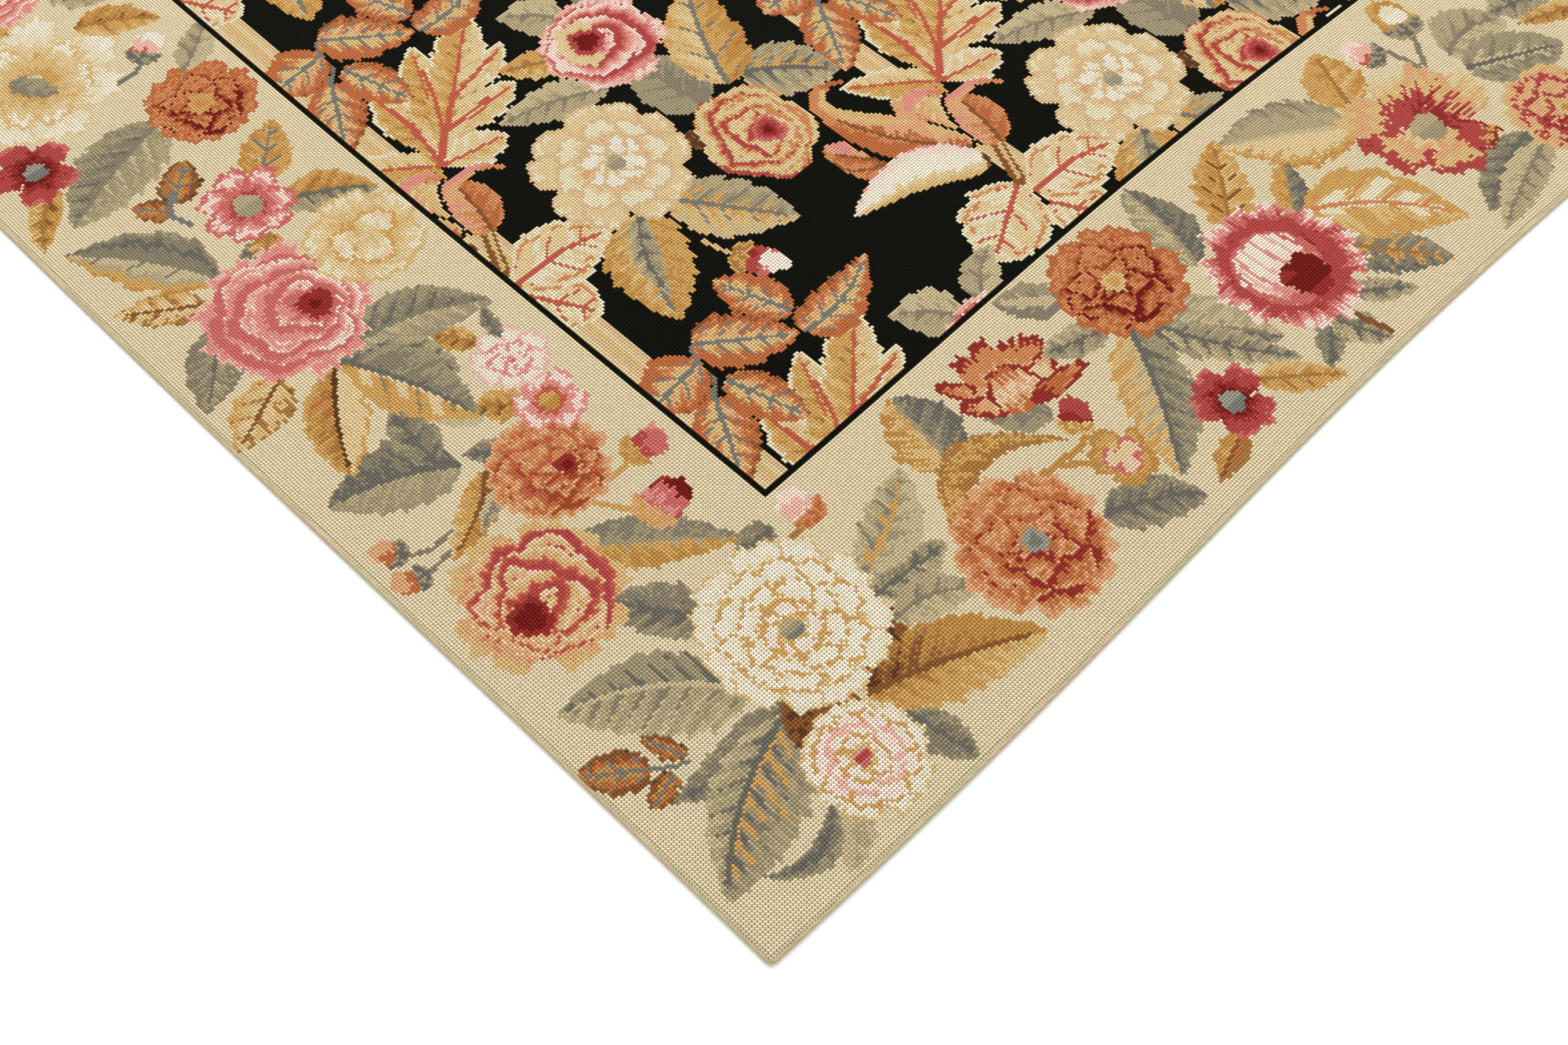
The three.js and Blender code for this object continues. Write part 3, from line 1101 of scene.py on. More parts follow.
def side_spray() -> list[Motif]:
    """The run of flowers up the left border, above the corner.

    Returns:
        The motifs, back ones first, placed from the rug's corner.
    """
    return [
        Blade(
            (49, 128), (87, 96), 18, BladeDress((STONE, SAGE, STONE), (MIST, HONEY, GOLD), rib=SAGE),
            bend=1,
        ),
        Stem(((65, 134), (70, 126)), HONEY, 2),
        Stem(((69, 140), (76, 137), (85, 139)), HONEY, 2),
        Stem(((13, 158), (20, 155), (28, 156)), STONE, 1.5),
        Stem(((12, 149), (24, 151)), STONE, 1.5),
        Bud((9.5, 163), 130, 11, ((PEACH, SHELL), (COPPER, PEACH))),
        Bud((8, 151), 160, 11, ((PEACH, SHELL), (COPPER, PEACH))),
        Blade((49, 165), (21, 148), 12, RUST_GOLD, bend=2),
        Blade((48, 157), (34, 150), 6, PALE_GREY),
        Bud(
            (80, 121), 10, 17, ((CRIMSON, BRICK, WINE, BRICK), (ROSE, PINK, ROSE, WINE)),
            sepal=(HONEY, PEACH),
        ),
        Bud((90, 139), -10, 14, ((ROSE, PINK), (CRIMSON, ROSE)), sepal=(GOLD, HONEY)),
        Blade((60, 166), (48, 174), 9, DARK_GREY),
        ragged_flower((63, 152), 20.5, (CORAL, COPPER, APRICOT, PEACH), RUST, (WINE, BRICK), 3.6, (5, -2)),
        Rose(
            (33, 122), 22, (-8, -4), 6.5,
            RoseDress((CRIMSON, CORAL, PEACH, STRAW, SHELL, PEACH), (WINE, WINE, BRICK)), folds=3.6,
            lobes=6, petals=4, arch=0.6, shade=0.16, shade_from=30, strokes=0.14,
            outer=Ring(
                9, 8, 27, 15, PetalDress((CRIMSON, CORAL, APRICOT, PEACH, STRAW), None, 1, 0.16, 0.2), 0.2,
            ),
        ),
        Blade((74, 176), (62, 185), 13, GOLD_LEAF, bluntness=0.6),
        daisy((80, 171), 13, 6, (CORAL, PINK, PETAL, PETAL), PINK, (GOLD, HONEY), 3.4, 0.4),
        Rosette(
            (82, 191),
            (
                Ring(8, 4, 13.5, 8.5, PetalDress((PETAL, MILK, PETAL), BLUSH, 1, 0.15, 0.3), 0.1),
                Ring(5, 0, 8, 7, PetalDress((PETAL, MILK, PETAL), PINK, 1, 0.15, 0.3), 0.4),
            ),
            heart=(ROSE, PINK), heart_radius=1.6,
        ),
        Blade((79, 203), (70, 217), 10, GOLD_LEAF),
        Blade((85, 200), (89, 213), 6, DARK_GREY),
        Blade(
            (45, 172), (7, 187), 26, BladeDress((SAGE, MIST, SAGE), (STONE, SLATE, STONE), rib=SLATE),
            bend=-3,
        ),
        Blade((40, 178), (43, 202), 15, DARK_GREY, bluntness=0.7),
        Blade((61, 179), (47, 201), 9, BladeDress((FOG, FOG), (FOG, MIST))),
        Blade(
            (47, 229), (93, 212), 23, BladeDress((SLATE, STONE, SAGE), (FOG, MIST, SAGE), rib=STONE),
            bend=5,
        ),
        Blade((56, 224), (68, 198), 16, GREY),
        Blade(
            (44, 227), (61, 181), 25,
            BladeDress(
                (SLATE, STONE, SAGE), (GOLD, HONEY, HONEY), rib=SLATE, vein=STONE, flush=WHEAT,
                flush_side=-1, flush_width=2.2,
            ),
            bend=2, veins=4,
        ),
        Blade(
            (41, 226), (19, 190), 20,
            BladeDress((STRAW, WHEAT, WHEAT), (COPPER, OCHRE, GOLD, HONEY), rib=BARK, rim=HONEY), bend=-2,
        ),
        Blade((27, 235), (0, 221), 18, CREAM_GOLD),
        Blade(
            (24, 264), (2, 239), 18, BladeDress((MIST, SAGE, STONE), (STONE, SAGE, STONE), rib=SLATE),
            bend=1,
        ),
        Blade((28, 273), (4, 289), 14, CREAM_GOLD),
        Blade((71, 291), (98, 274), 18, GOLD_GREY, bend=2),
        Blade((61, 280), (46, 281), 9, DARK_GREY),
        Blade((60, 283), (50, 273), 11, GOLD_LEAF),
        Blade(
            (71, 302), (91, 322), 18,
            BladeDress((STRAW, HONEY, GOLD), (HONEY, GOLD, HONEY), rib=LEAD, vein=LEAD),
        ),
        Blade(
            (37, 279), (7, 320), 25,
            BladeDress(
                (GOLD, HONEY, MIST, FOG), (SAGE, STONE, SLATE, STONE), rib=STONE, vein=STONE, lean=-1,
                depth=0.1, grain=0.16,
            ),
            bend=-3, veins=4,
        ),
        Rose(
            (43, 253), 25, (9.5, -3), 7.5,
            RoseDress((ROSE, ROSE, PINK, PINK, BLUSH, PETAL), (WINE, BRICK, BRICK, ROSE)), folds=4.2,
            lobes=6, shade=0.16, shade_from=160, arch=0.45,
            outer=Ring(9, 8, 29, 17, PetalDress((CRIMSON, ROSE, PINK, PINK), BLUSH, 1.2, 0.28), 0.3),
        ),
        Rosette(
            (81, 260),
            (
                Ring(6, 3, 21, 19, PetalDress((HONEY, STRAW, WHEAT, IVORY), STRAW, 1.5, 0.14, 0.1), 0.3),
                Ring(3, -2, 13, 14, PetalDress((STRAW, WHEAT, IVORY, SHELL), HONEY, 1.1, 0.15, 0.1), 0.6),
            ),
            heart=(STRAW, WHEAT), heart_radius=2,
        ),
        daisy((62, 297), 17.5, 7, (CRIMSON, ROSE, PINK, PETAL, PINK), ROSE, (SAGE, MIST), 5, 0.5),
        Blade((45, 314), (59, 327), 14, BROWN_LEAF, bluntness=0.6),
        Blade((43, 311), (34, 322), 10, BROWN_LEAF, bluntness=0.6),
        Stem(((44, 303), (41, 311), (48, 319)), LEAD, 2),
    ]


def upper_side_spray() -> list[Motif]:
    """The rest of the run up the left border.

    Returns:
        The motifs, back ones first, placed from the rug's corner.
    """
    return [
        Blade((22, 348), (3, 326), 11, GOLD_LEAF, bend=-2),
        Blade(
            (63, 347), (16, 328), 28, BladeDress((FOG, SAGE, MIST), (SLATE, STONE, SAGE), rib=STONE),
            bend=-2, bluntness=0.7,
        ),
        daisy(
            (20.5, 357), 16, 5, (WINE, BRICK, CRIMSON, CRIMSON, ROSE), None, (LEAD, PEWTER), 4, 1.6, 0.78,
        ),
        ragged_flower((78.5, 344.5), 20.5, (RUST, COPPER, APRICOT, COPPER), WINE, (APRICOT, HONEY), 4.5),
        Blade((83, 361), (105, 377), 13, PALE_GREY, bend=-1),
        Rosette(
            (43, 390),
            (
                Ring(7, 6, 32, 21, PetalDress((HONEY, WHEAT, IVORY, MILK), WHEAT, 1.2, 0.2, 0.15), 0.1),
                Ring(6, 3, 22, 14, PetalDress((HONEY, STRAW, WHEAT, MILK), STRAW, 1.2, 0.2, 0.15), 0.5),
            ),
            heart=(STONE, SAGE), heart_radius=0,
        ),
        Blade((37, 397), (47, 382), 9, BladeDress((STONE, SAGE), (SAGE, STONE)), teeth=0.3, bluntness=0.5),
        Stem(((64, 371), (70, 371), (76, 374)), LEAD, 2),
        Bud((81, 379), 40, 14, ((PETAL, MILK), (CORAL, BLUSH, MILK))),
        Blade((68, 404), (93, 387), 15, GOLD_LEAF, bend=2),
    ]


def linking_spray() -> list[Motif]:
    """The flowers in the middle of the left border, between the runs from its two corners.

    Returns:
        The motifs, back ones first, placed from the rug's corner.
    """
    return [
        Blade((40, 432), (8, 412), 24, GREY_FLUSH, bend=2),
        Blade((72, 430), (90, 407), 16, GREY, bend=-2),
        Blade((76, 448), (98, 462), 15, DARK_GREY, bluntness=0.7),
        Blade((36, 452), (8, 466), 18, GREY_GOLD, bend=-2),
        Blade((60, 468), (86, 496), 19, GOLD_GREY, bend=2),
        Blade((34, 484), (12, 504), 15, PALE_GREY),
        Blade((54, 424), (46, 408), 11, BRIGHT_GOLD),
        ragged_flower((34, 478), 19, (COPPER, APRICOT, PEACH), BRICK, (HONEY, STRAW)),
        Rose(
            (58, 444), 22, (6, -3), 6.5,
            RoseDress((ROSE, ROSE, PINK, PINK, BLUSH, PETAL), (WINE, BRICK, BRICK, ROSE)), folds=4.2,
            lobes=6,
            outer=Ring(9, 8, 25, 15, PetalDress((CRIMSON, ROSE, PINK, PINK), BLUSH, 1.2, 0.28), 0.3),
        ),
        daisy((84, 478), 11, 6, (ROSE, PINK, PETAL), PINK, (GOLD, HONEY), 3, 0.4),
    ]


class RugPattern:
    """Lays out the whole rug: the repeating field, its dark line and the flower border."""

    BORDER = 102
    LINE = 2
    REPEAT_COLUMNS = 147
    REPEAT_ROWS = 184

    def __init__(self, columns: int, rows: int) -> None:
        """Sets the size of the canvas in stitches."""
        self.columns, self.rows = columns, rows

    def field(self) -> np.ndarray:
        """Works one tile of the field and repeats it over the canvas.

        Returns:
            The yarn number of every stitch, as if the field had no border.
        """
        tile = RepeatChart(self.REPEAT_COLUMNS, self.REPEAT_ROWS, Yarn.NIGHT)
        for motif in field_spray():
            motif.work(tile)
        columns, rows = np.meshgrid(np.arange(self.columns), np.arange(self.rows))
        columns, rows = tile.tile_place(columns, rows)
        return tile.yarns[rows, columns]

    def border(self) -> np.ndarray:
        """Works the border: the flowers of each corner run along both of its sides.

        Returns:
            The yarn number of every stitch, as if the border had no field.
        """
        chart = Chart(self.columns, self.rows, Yarn.GROUND)
        wide, long, quarter = float(self.columns), float(self.rows), math.pi / 2
        short_run = [*corner_spray(), *bottom_spray(), *side_spray()]
        long_run = [*linking_spray(), *short_run, *upper_side_spray()]
        for lay, motifs in (
            (Lay(3 * quarter, 0.0, long), short_run),
            (Lay(quarter, wide, 0.0), short_run),
            (Lay(2 * quarter, wide, long), long_run),
            (Lay(), long_run),
        ):
            chart.lay = lay
            for motif in motifs:
                motif.work(chart)
        return chart.yarns

    def whole(self) -> np.ndarray:
        """The yarn number of every stitch, by row and column.

        Returns:
            The yarn number of every stitch.
        """
        columns, rows = np.meshgrid(np.arange(self.columns), np.arange(self.rows))
        from_edge = np.minimum(columns, self.columns - 1 - columns)
        from_edge = np.minimum(from_edge, np.minimum(rows, self.rows - 1 - rows))
        chart = np.where(from_edge < self.BORDER, self.border(), self.field())
        on_line = (from_edge >= self.BORDER) & (from_edge < self.BORDER + self.LINE)
        chart[on_line] = Yarn.NIGHT
        return chart


@dataclass(frozen=True)
class CanvasWave:
    """A long sideways wave of the whole cloth, in metres."""

    reach: float
    wavelength: float
    start: float

    def at(self, distance: np.ndarray) -> np.ndarray:
        """The sideways shift at distances along the wave."""
        return -self.reach * np.cos(TURN * (distance - self.start) / self.wavelength)


@dataclass(frozen=True)
class EdgeLine:
    """One line round the turned edge: how far the cloth draws in there, and its height."""

    inset: float
    height: float


@dataclass(frozen=True)
class CanvasSize:
    """The rug's sizes in metres, as the frame's panel has them, and its stitch counts."""

    stitches_across: int = 792
    stitches_along: int = 960
    stitch_width: float = 0.003075
    stitch_length: float = 0.003175
    corner_radius: float = 0.006
    face_edge: EdgeLine = EdgeLine(0.0022, 0.0040)
    turned_edge: tuple[EdgeLine, ...] = (
        EdgeLine(0.0007, 0.0032),
        EdgeLine(0.0, 0.0020),
        EdgeLine(0.0002, 0.0009),
        EdgeLine(0.0014, 0.0),
    )
    row_wander: CanvasWave = CanvasWave(0.0086, 1.507, 0.154)
    column_wander: CanvasWave = CanvasWave(0.0034, 1.905, 0.952)
    swell: float = 0.0005
    swell_across: float = 0.610
    swell_along: float = 0.760
    cockle: float = 0.00022
    block: int = 4
    hem_stitches: int = 12
    hem_thickness: float = 0.0008

    @property
    def width(self) -> float:
        """The flat width of the face."""
        return self.stitches_across * self.stitch_width

    @property
    def length(self) -> float:
        """The flat length of the face."""
        return self.stitches_along * self.stitch_length

    def drawn_in(self, across: np.ndarray, along: np.ndarray, inset: float) -> np.ndarray:
        """Places of a ring's points in the flat cloth, with the four corners rounded.

        Args:
            across: Stitch counts from the left edge, end lines included.
            along: Stitch counts from the lower edge, end lines included.
            inset: How far the ring lies inside the outline, in metres.

        Returns:
            The flat x and y of each crossing of the lines, from the rug's middle.
        """
        x = across * self.stitch_width - self.width / 2
        y = along * self.stitch_length - self.length / 2
        x[0], x[-1] = inset - self.width / 2, self.width / 2 - inset
        y[0], y[-1] = inset - self.length / 2, self.length / 2 - inset
        flat = np.stack(np.meshgrid(x, y), axis=-1)
        if inset < self.corner_radius:
            reach = (self.corner_radius - inset) * math.sqrt(0.5)
            centre = np.array([self.width / 2, self.length / 2]) - self.corner_radius
            for row, column in ((0, 0), (0, -1), (-1, 0), (-1, -1)):
                side = np.sign(flat[row, column])
                flat[row, column] = side * (centre + reach)
        return flat

    def laid(self, flat: np.ndarray, height: np.ndarray | float) -> np.ndarray:
        """Where points of the flat cloth lie on the floor, with the canvas out of true.

        Args:
            flat: The points' x and y in the flat cloth.
            height: Their height, one or each.

        Returns:
            The x, y and height of each point.
        """
        x, y = flat[..., 0], flat[..., 1]
        sideways = self.column_wander.at(y + self.length / 2)
        lengthways = self.row_wander.at(x + self.width / 2)
        heights = np.broadcast_to(height, x.shape)
        return np.stack([x + sideways, y + lengthways, heights], axis=-1)

    def face_height(self, flat: np.ndarray) -> np.ndarray:
        """The height of the stitched face, with its long swell and its small cockles.

        Args:
            flat: The points' x and y in the flat cloth.

        Returns:
            The height of each.
        """
        x, y = flat[..., 0], flat[..., 1]
        fade = np.cos(math.pi * x / self.width) * np.cos(math.pi * y / self.length)
        fade = np.clip(fade, 0.0, 1.0)
        swell = np.sin(TURN * x / self.swell_across) * np.sin(TURN * y / self.swell_along)
        cockle = uneven(31.0 * x + 9.0 * y, 0.7) * uneven(27.0 * y - 11.0 * x, 1.9)
        swelling = self.face_edge.height + self.swell * fade * swell
        return swelling + self.cockle * np.minimum(4 * fade, 1.0) * cockle


class Part(Enum):
    """The dressed parts of the sheet, in the order of its material slots."""

    FACE = 0
    EDGE = 1
    HEM = 2
    REVERSE = 3


@dataclass(frozen=True)
class BakePlace:
    """Where a part of the sheet lies in the square picture that its colours are baked to."""

    left: float
    bottom: float
    scale: float = 1.0

    SQUARE = 1024.0

    def beside(self, distance: float) -> "BakePlace":
        """The same place, further to the right in the picture."""
        return replace(self, left=self.left + distance)

    def shrunk(self, scale: float) -> "BakePlace":
        """The same place at another scale."""
        return replace(self, scale=scale)

    def of(self, across: np.ndarray, along: np.ndarray) -> np.ndarray:
        """The picture places of points that are given in stitches."""
        spot = np.stack([self.left + self.scale * across, self.bottom + self.scale * along], axis=-1)
        return spot / self.SQUARE


class SheetMesh:
    """Collects the points and faces of the sheet, with two maps for each corner of a face."""

    def __init__(self) -> None:
        """Starts an empty mesh."""
        self.points: list[np.ndarray] = []
        self.count = 0
        self.faces: list[tuple[int, ...]] = []
        self.canvas_map: list[np.ndarray] = []
        self.bake_map: list[np.ndarray] = []
        self.parts: list[int] = []

    def add_points(self, points: np.ndarray) -> np.ndarray:
        """Adds a grid of points and gives their numbers in the same layout.

        Args:
            points: The points, by row and column.

        Returns:
            Their numbers.
        """
        numbers = self.count + np.arange(points[..., 0].size).reshape(points.shape[:-1])
        self.points.append(points.reshape(-1, 3))
        self.count += numbers.size
        return numbers

    def add_grid(self, numbers: np.ndarray, canvas: np.ndarray, bake: np.ndarray, part: Part) -> None:
        """Adds the faces between the lines of a grid of points.

        Args:
            numbers: The points' numbers, by row and column.
            canvas: Their places on the canvas, in stitches.
            bake: Their places in the baked picture.
            part: The part of the sheet. The reverse faces down, all else faces up.
        """
        turns = [(0, 0), (0, 1), (1, 1), (1, 0)]
        if part is Part.REVERSE:
            turns.reverse()
        high, wide = numbers.shape[0] - 1, numbers.shape[1] - 1
        cuts = [(slice(row, high + row), slice(column, wide + column)) for row, column in turns]
        quads = np.stack([numbers[cut].ravel() for cut in cuts], axis=-1)
        self.faces.extend(map(tuple, quads.tolist()))
        for corners, places in ((self.canvas_map, canvas), (self.bake_map, bake)):
            by_corner = np.stack([places[cut].reshape(-1, 2) for cut in cuts], axis=1)
            corners.append(by_corner.reshape(-1, 2))
        self.parts.extend([part.value] * len(quads))

    def add_face(self, numbers: list[int], canvas: np.ndarray, bake: np.ndarray, part: Part) -> None:
        """Adds one face from its points' numbers and their places in the two maps.

        Args:
            numbers: Its points' numbers.
            canvas: Their places in stitches.
            bake: Their places in the baked picture.
            part: The part of the sheet.
        """
        self.faces.append(tuple(int(number) for number in numbers))
        self.canvas_map.append(canvas)
        self.bake_map.append(bake)
        self.parts.append(part.value)

    def make(self, name: str) -> bpy.types.Mesh:
        """Makes the Blender mesh with its maps and its parts' slots.

        Args:
            name: The mesh's name.

        Returns:
            The mesh.
        """
        mesh = bpy.data.meshes.new(name)
        mesh.from_pydata(np.concatenate(self.points).tolist(), [], self.faces)
        for map_name, corners in (("Canvas", self.canvas_map), ("OFBake", self.bake_map)):
            layer = mesh.uv_layers.new(name=map_name)
            layer.data.foreach_set("uv", np.concatenate(corners).astype(np.float32).ravel())
        mesh.polygons.foreach_set("material_index", np.array(self.parts, np.int32))
        mesh.polygons.foreach_set("use_smooth", np.array(self.parts) != Part.HEM.value)
        return mesh


def ring_of(grid: np.ndarray) -> list[np.ndarray]:
    """The four sides of a grid's rim, each from corner to corner, counterclockwise."""
    return [grid[0], grid[:, -1], grid[-1, ::-1], grid[::-1, 0]]


class NeedlepointRug:
    """The rug's one sheet of cloth, from its stitched face round its edge to its reverse."""

    NAME = "stitched_cloth"
    EDGE_BAKE = BakePlace(804.0, 2.0)
    EDGE_PITCH = 13.0
    EDGE_DEPTH_SHARE = 2.0
    HEM_BAKE = BakePlace(856.0, 2.0)
    HEM_PITCH = 16.0
    HEM_STEP = 0.3
    REVERSE_BAKE = BakePlace(922.0, 4.0)
    REVERSE_BAKE_WIDTH = 100.0

    def __init__(self, size: CanvasSize, chart: np.ndarray) -> None:
        """Sets the sizes and the chart of yarns, by row and column.

        Args:
            size: The sizes of the cloth.
            chart: The yarn number of every stitch.
        """
        self.size = size
        self.chart = chart
        self.mesh = SheetMesh()

    def lines(self, count: int, first: int, step: int) -> np.ndarray:
        """Stitch counts of the lines of a grid, from one end line to the other.

        Args:
            count: Stitches from edge to edge.
            first: The grid's end line, counted from the edge.
            step: Stitches from line to line, between the end lines.

        Returns:
            The lines, with one more close to each end of a grid that starts at the edge.
        """
        between = np.arange(first + step - first % step, count - first, step)
        close = [2] if first == 0 else []
        ends = [first, *close, *between, *(count - near for near in close), count - first]
        return np.array(ends, float)

    def cloth_grid(self, first: int, step: int, inset: float) -> tuple[np.ndarray, np.ndarray]:
        """The canvas places in stitches and the flat places in metres of a grid of lines.

        Args:
            first: The grid's end line, in stitches from the edge.
            step: Stitches from line to line.
            inset: How far its rim lies inside the outline.

        Returns:
            The two sets of places, by row and column.
        """
        across = self.lines(self.size.stitches_across, first, step)
        along = self.lines(self.size.stitches_along, first, step)
        flat = self.size.drawn_in(across, along, inset)
        middle = self.size.width / 2, self.size.length / 2
        stitch = self.size.stitch_width, self.size.stitch_length
        return (flat + middle) / stitch, flat

    def add_face(self) -> list[np.ndarray]:
        """Adds the stitched face and gives the point numbers of its rim.

        Returns:
            The numbers of its rim's points.
        """
        canvas, flat = self.cloth_grid(0, self.size.block, self.size.face_edge.inset)
        numbers = self.mesh.add_points(self.size.laid(flat, self.size.face_height(flat)))
        bake = BakePlace(0.0, 0.0).of(canvas[..., 0], canvas[..., 1])
        self.mesh.add_grid(numbers, canvas, bake, Part.FACE)
        return ring_of(numbers)

    def add_turned_edge(self, rim: list[np.ndarray]) -> list[np.ndarray]:
        """Adds the edge that turns down all round, and gives the point numbers of its foot.

        Args:
            rim: The point numbers of the face's rim, side by side.

        Returns:
            The point numbers of the lowest ring.
        """
        upper, last = rim, self.size.face_edge
        depth = 0.0
        for line in self.size.turned_edge:
            _, flat = self.cloth_grid(0, self.size.block, line.inset)
            points = self.size.laid(flat, line.height)
            lower = self.ring_points(points)
            step = math.hypot(line.inset - last.inset, line.height - last.height)
            step = step / self.size.stitch_width
            for side, (top, foot) in enumerate(zip(upper, lower)):
                self.add_edge_strip(top, foot, side, depth, depth + step)
            upper, last = lower, line
            depth += step
        return upper

    def ring_points(self, points: np.ndarray) -> list[np.ndarray]:
        """Adds the points of a grid's rim alone, and gives their numbers side by side.

        Args:
            points: The grid's points.

        Returns:
            The rim's points in turn.
        """
        sides = ring_of(points)
        numbers = [self.mesh.add_points(side[:-1]) for side in sides]
        pairs = zip(numbers, numbers[1:] + numbers[:1])
        return [np.append(own, following[0]) for own, following in pairs]

    def add_edge_strip(
        self, top: np.ndarray, foot: np.ndarray, side: int, start: float, end: float
    ) -> None:
        """Adds one side's faces between two rings of the turned edge.

        Args:
            top: Point numbers along the upper ring.
            foot: Point numbers along the lower ring.
            side: Number of the side, which places it in the baked picture.
            start: Distance of the upper ring from the face, in stitches round the edge.
            end: The same of the lower ring.
        """
        count = self.size.stitches_along if side % 2 else self.size.stitches_across
        along = self.lines(count, 0, self.size.block)
        place = self.EDGE_BAKE.beside(self.EDGE_PITCH * side)
        for n in range(len(along) - 1):
            numbers = [top[n], foot[n], foot[n + 1], top[n + 1]]
            run = np.array([along[n], along[n], along[n + 1], along[n + 1]])
            down = np.array([start, end, end, start])
            canvas = np.stack([run, down], axis=-1)
            self.mesh.add_face(numbers, canvas, place.of(self.EDGE_DEPTH_SHARE * down, run), Part.EDGE)

    def add_hem(self, foot: list[np.ndarray]) -> None:
        """Adds the hem that lies on the floor, its inner step and the reverse of the face.

        Args:
            foot: The point numbers of the turned edge's lowest ring.
        """
        size = self.size
        first, step = size.hem_stitches, 2 * size.block
        canvas, flat = self.cloth_grid(first, step, first * size.stitch_width)
        inner = self.ring_points(size.laid(flat, 0.0))
        numbers = self.mesh.add_points(size.laid(flat, size.hem_thickness))
        scale = self.REVERSE_BAKE_WIDTH / size.stitches_across
        bake = self.REVERSE_BAKE.shrunk(scale).of(canvas[..., 0], canvas[..., 1])
        self.mesh.add_grid(numbers, canvas / 2, bake, Part.REVERSE)
        for side, (outer, turn, wall) in enumerate(zip(foot, inner, ring_of(numbers))):
            count = size.stitches_along if side % 2 else size.stitches_across
            fine = self.lines(count, 0, size.block)
            coarse = self.lines(count, first, step)
            met = [0, *(int(np.searchsorted(fine, line)) for line in coarse[1:-1]), len(fine) - 1]
            place = self.HEM_BAKE.beside(self.HEM_PITCH * side)
            for n in range(len(coarse) - 1):
                back = range(met[n + 1], met[n] - 1, -1)
                ring = [turn[n], turn[n + 1], *(outer[k] for k in back)]
                run = np.array([coarse[n], coarse[n + 1], *(fine[k] for k in back)])
                depth = np.array([first, first, *(0 for _ in back)], float)
                self.mesh.add_face(ring, np.stack([run, depth], axis=-1), place.of(depth, run), Part.HEM)
                ends = np.array([coarse[n], coarse[n], coarse[n + 1], coarse[n + 1]])
                rise = first + np.array([0.0, self.HEM_STEP, self.HEM_STEP, 0.0])
                step_face = [turn[n], wall[n], wall[n + 1], turn[n + 1]]
                canvas = np.stack([ends, rise], axis=-1)
                self.mesh.add_face(step_face, canvas, place.of(rise, ends), Part.HEM)

    def packed_shades(self) -> list[np.ndarray]:
        """The yarn numbers of each face's stitches, four to a number and one row at a time.

        Returns:
            For each row of a block of stitches, one value for every face of the mesh.
        """
        block = self.size.block
        weights = float(len(Yarn)) ** np.arange(block)
        middles = self.face_middles()
        parts = np.array(self.mesh.parts)
        shades = [np.zeros(len(parts)) for _ in range(block)]
        for part, chart in ((Part.FACE, self.chart), (Part.REVERSE, self.chart[1::2, ::2])):
            rows, columns = (middles[parts == part.value] // block).astype(int).T[::-1]
            for row in range(block):
                cells = chart[row::block].reshape(chart.shape[0] // block, -1, block)
                shades[row][parts == part.value] = (cells @ weights)[rows, columns]
        return shades

    def face_middles(self) -> np.ndarray:
        """The middle of each face on the canvas, in the stitches of its own part.

        Returns:
            One place for each face.
        """
        corners = np.concatenate(self.mesh.canvas_map)
        counts = np.array([len(face) for face in self.mesh.faces])
        starts = np.concatenate([[0], np.cumsum(counts)[:-1]])
        return np.add.reduceat(corners, starts, axis=0) / counts[:, None]

    def build(self, finishes: dict[Part, bpy.types.Material]) -> bpy.types.Object:
        """Args:
            finishes: The material of each part.

        Returns:
            The finished object.
        """
        rim = self.add_face()
        self.add_hem(self.add_turned_edge(rim))
        mesh = self.mesh.make(self.NAME)
        for row, shades in enumerate(self.packed_shades()):
            layer = mesh.attributes.new(f"shades_row_{row}", "FLOAT", "FACE")
            layer.data.foreach_set("value", shades.astype(np.float32))
        points = np.concatenate(self.mesh.points)
        middle = (points.max(axis=0) + points.min(axis=0)) / 2
        mesh.transform(Matrix.Translation((-middle[0], -middle[1], 0.0)))
        for part in Part:
            mesh.materials.append(finishes[part])
        mesh.validate()
        cloth = bpy.data.objects.new(self.NAME, mesh)
        bpy.context.scene.collection.objects.link(cloth)
        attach(cloth, "root")
        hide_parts(PANEL_NODE)
        log.info("%s: %d faces, %d points", self.NAME, len(mesh.polygons), len(mesh.vertices))
        return cloth


Linkable = "Wire | float | tuple[float, ...]"


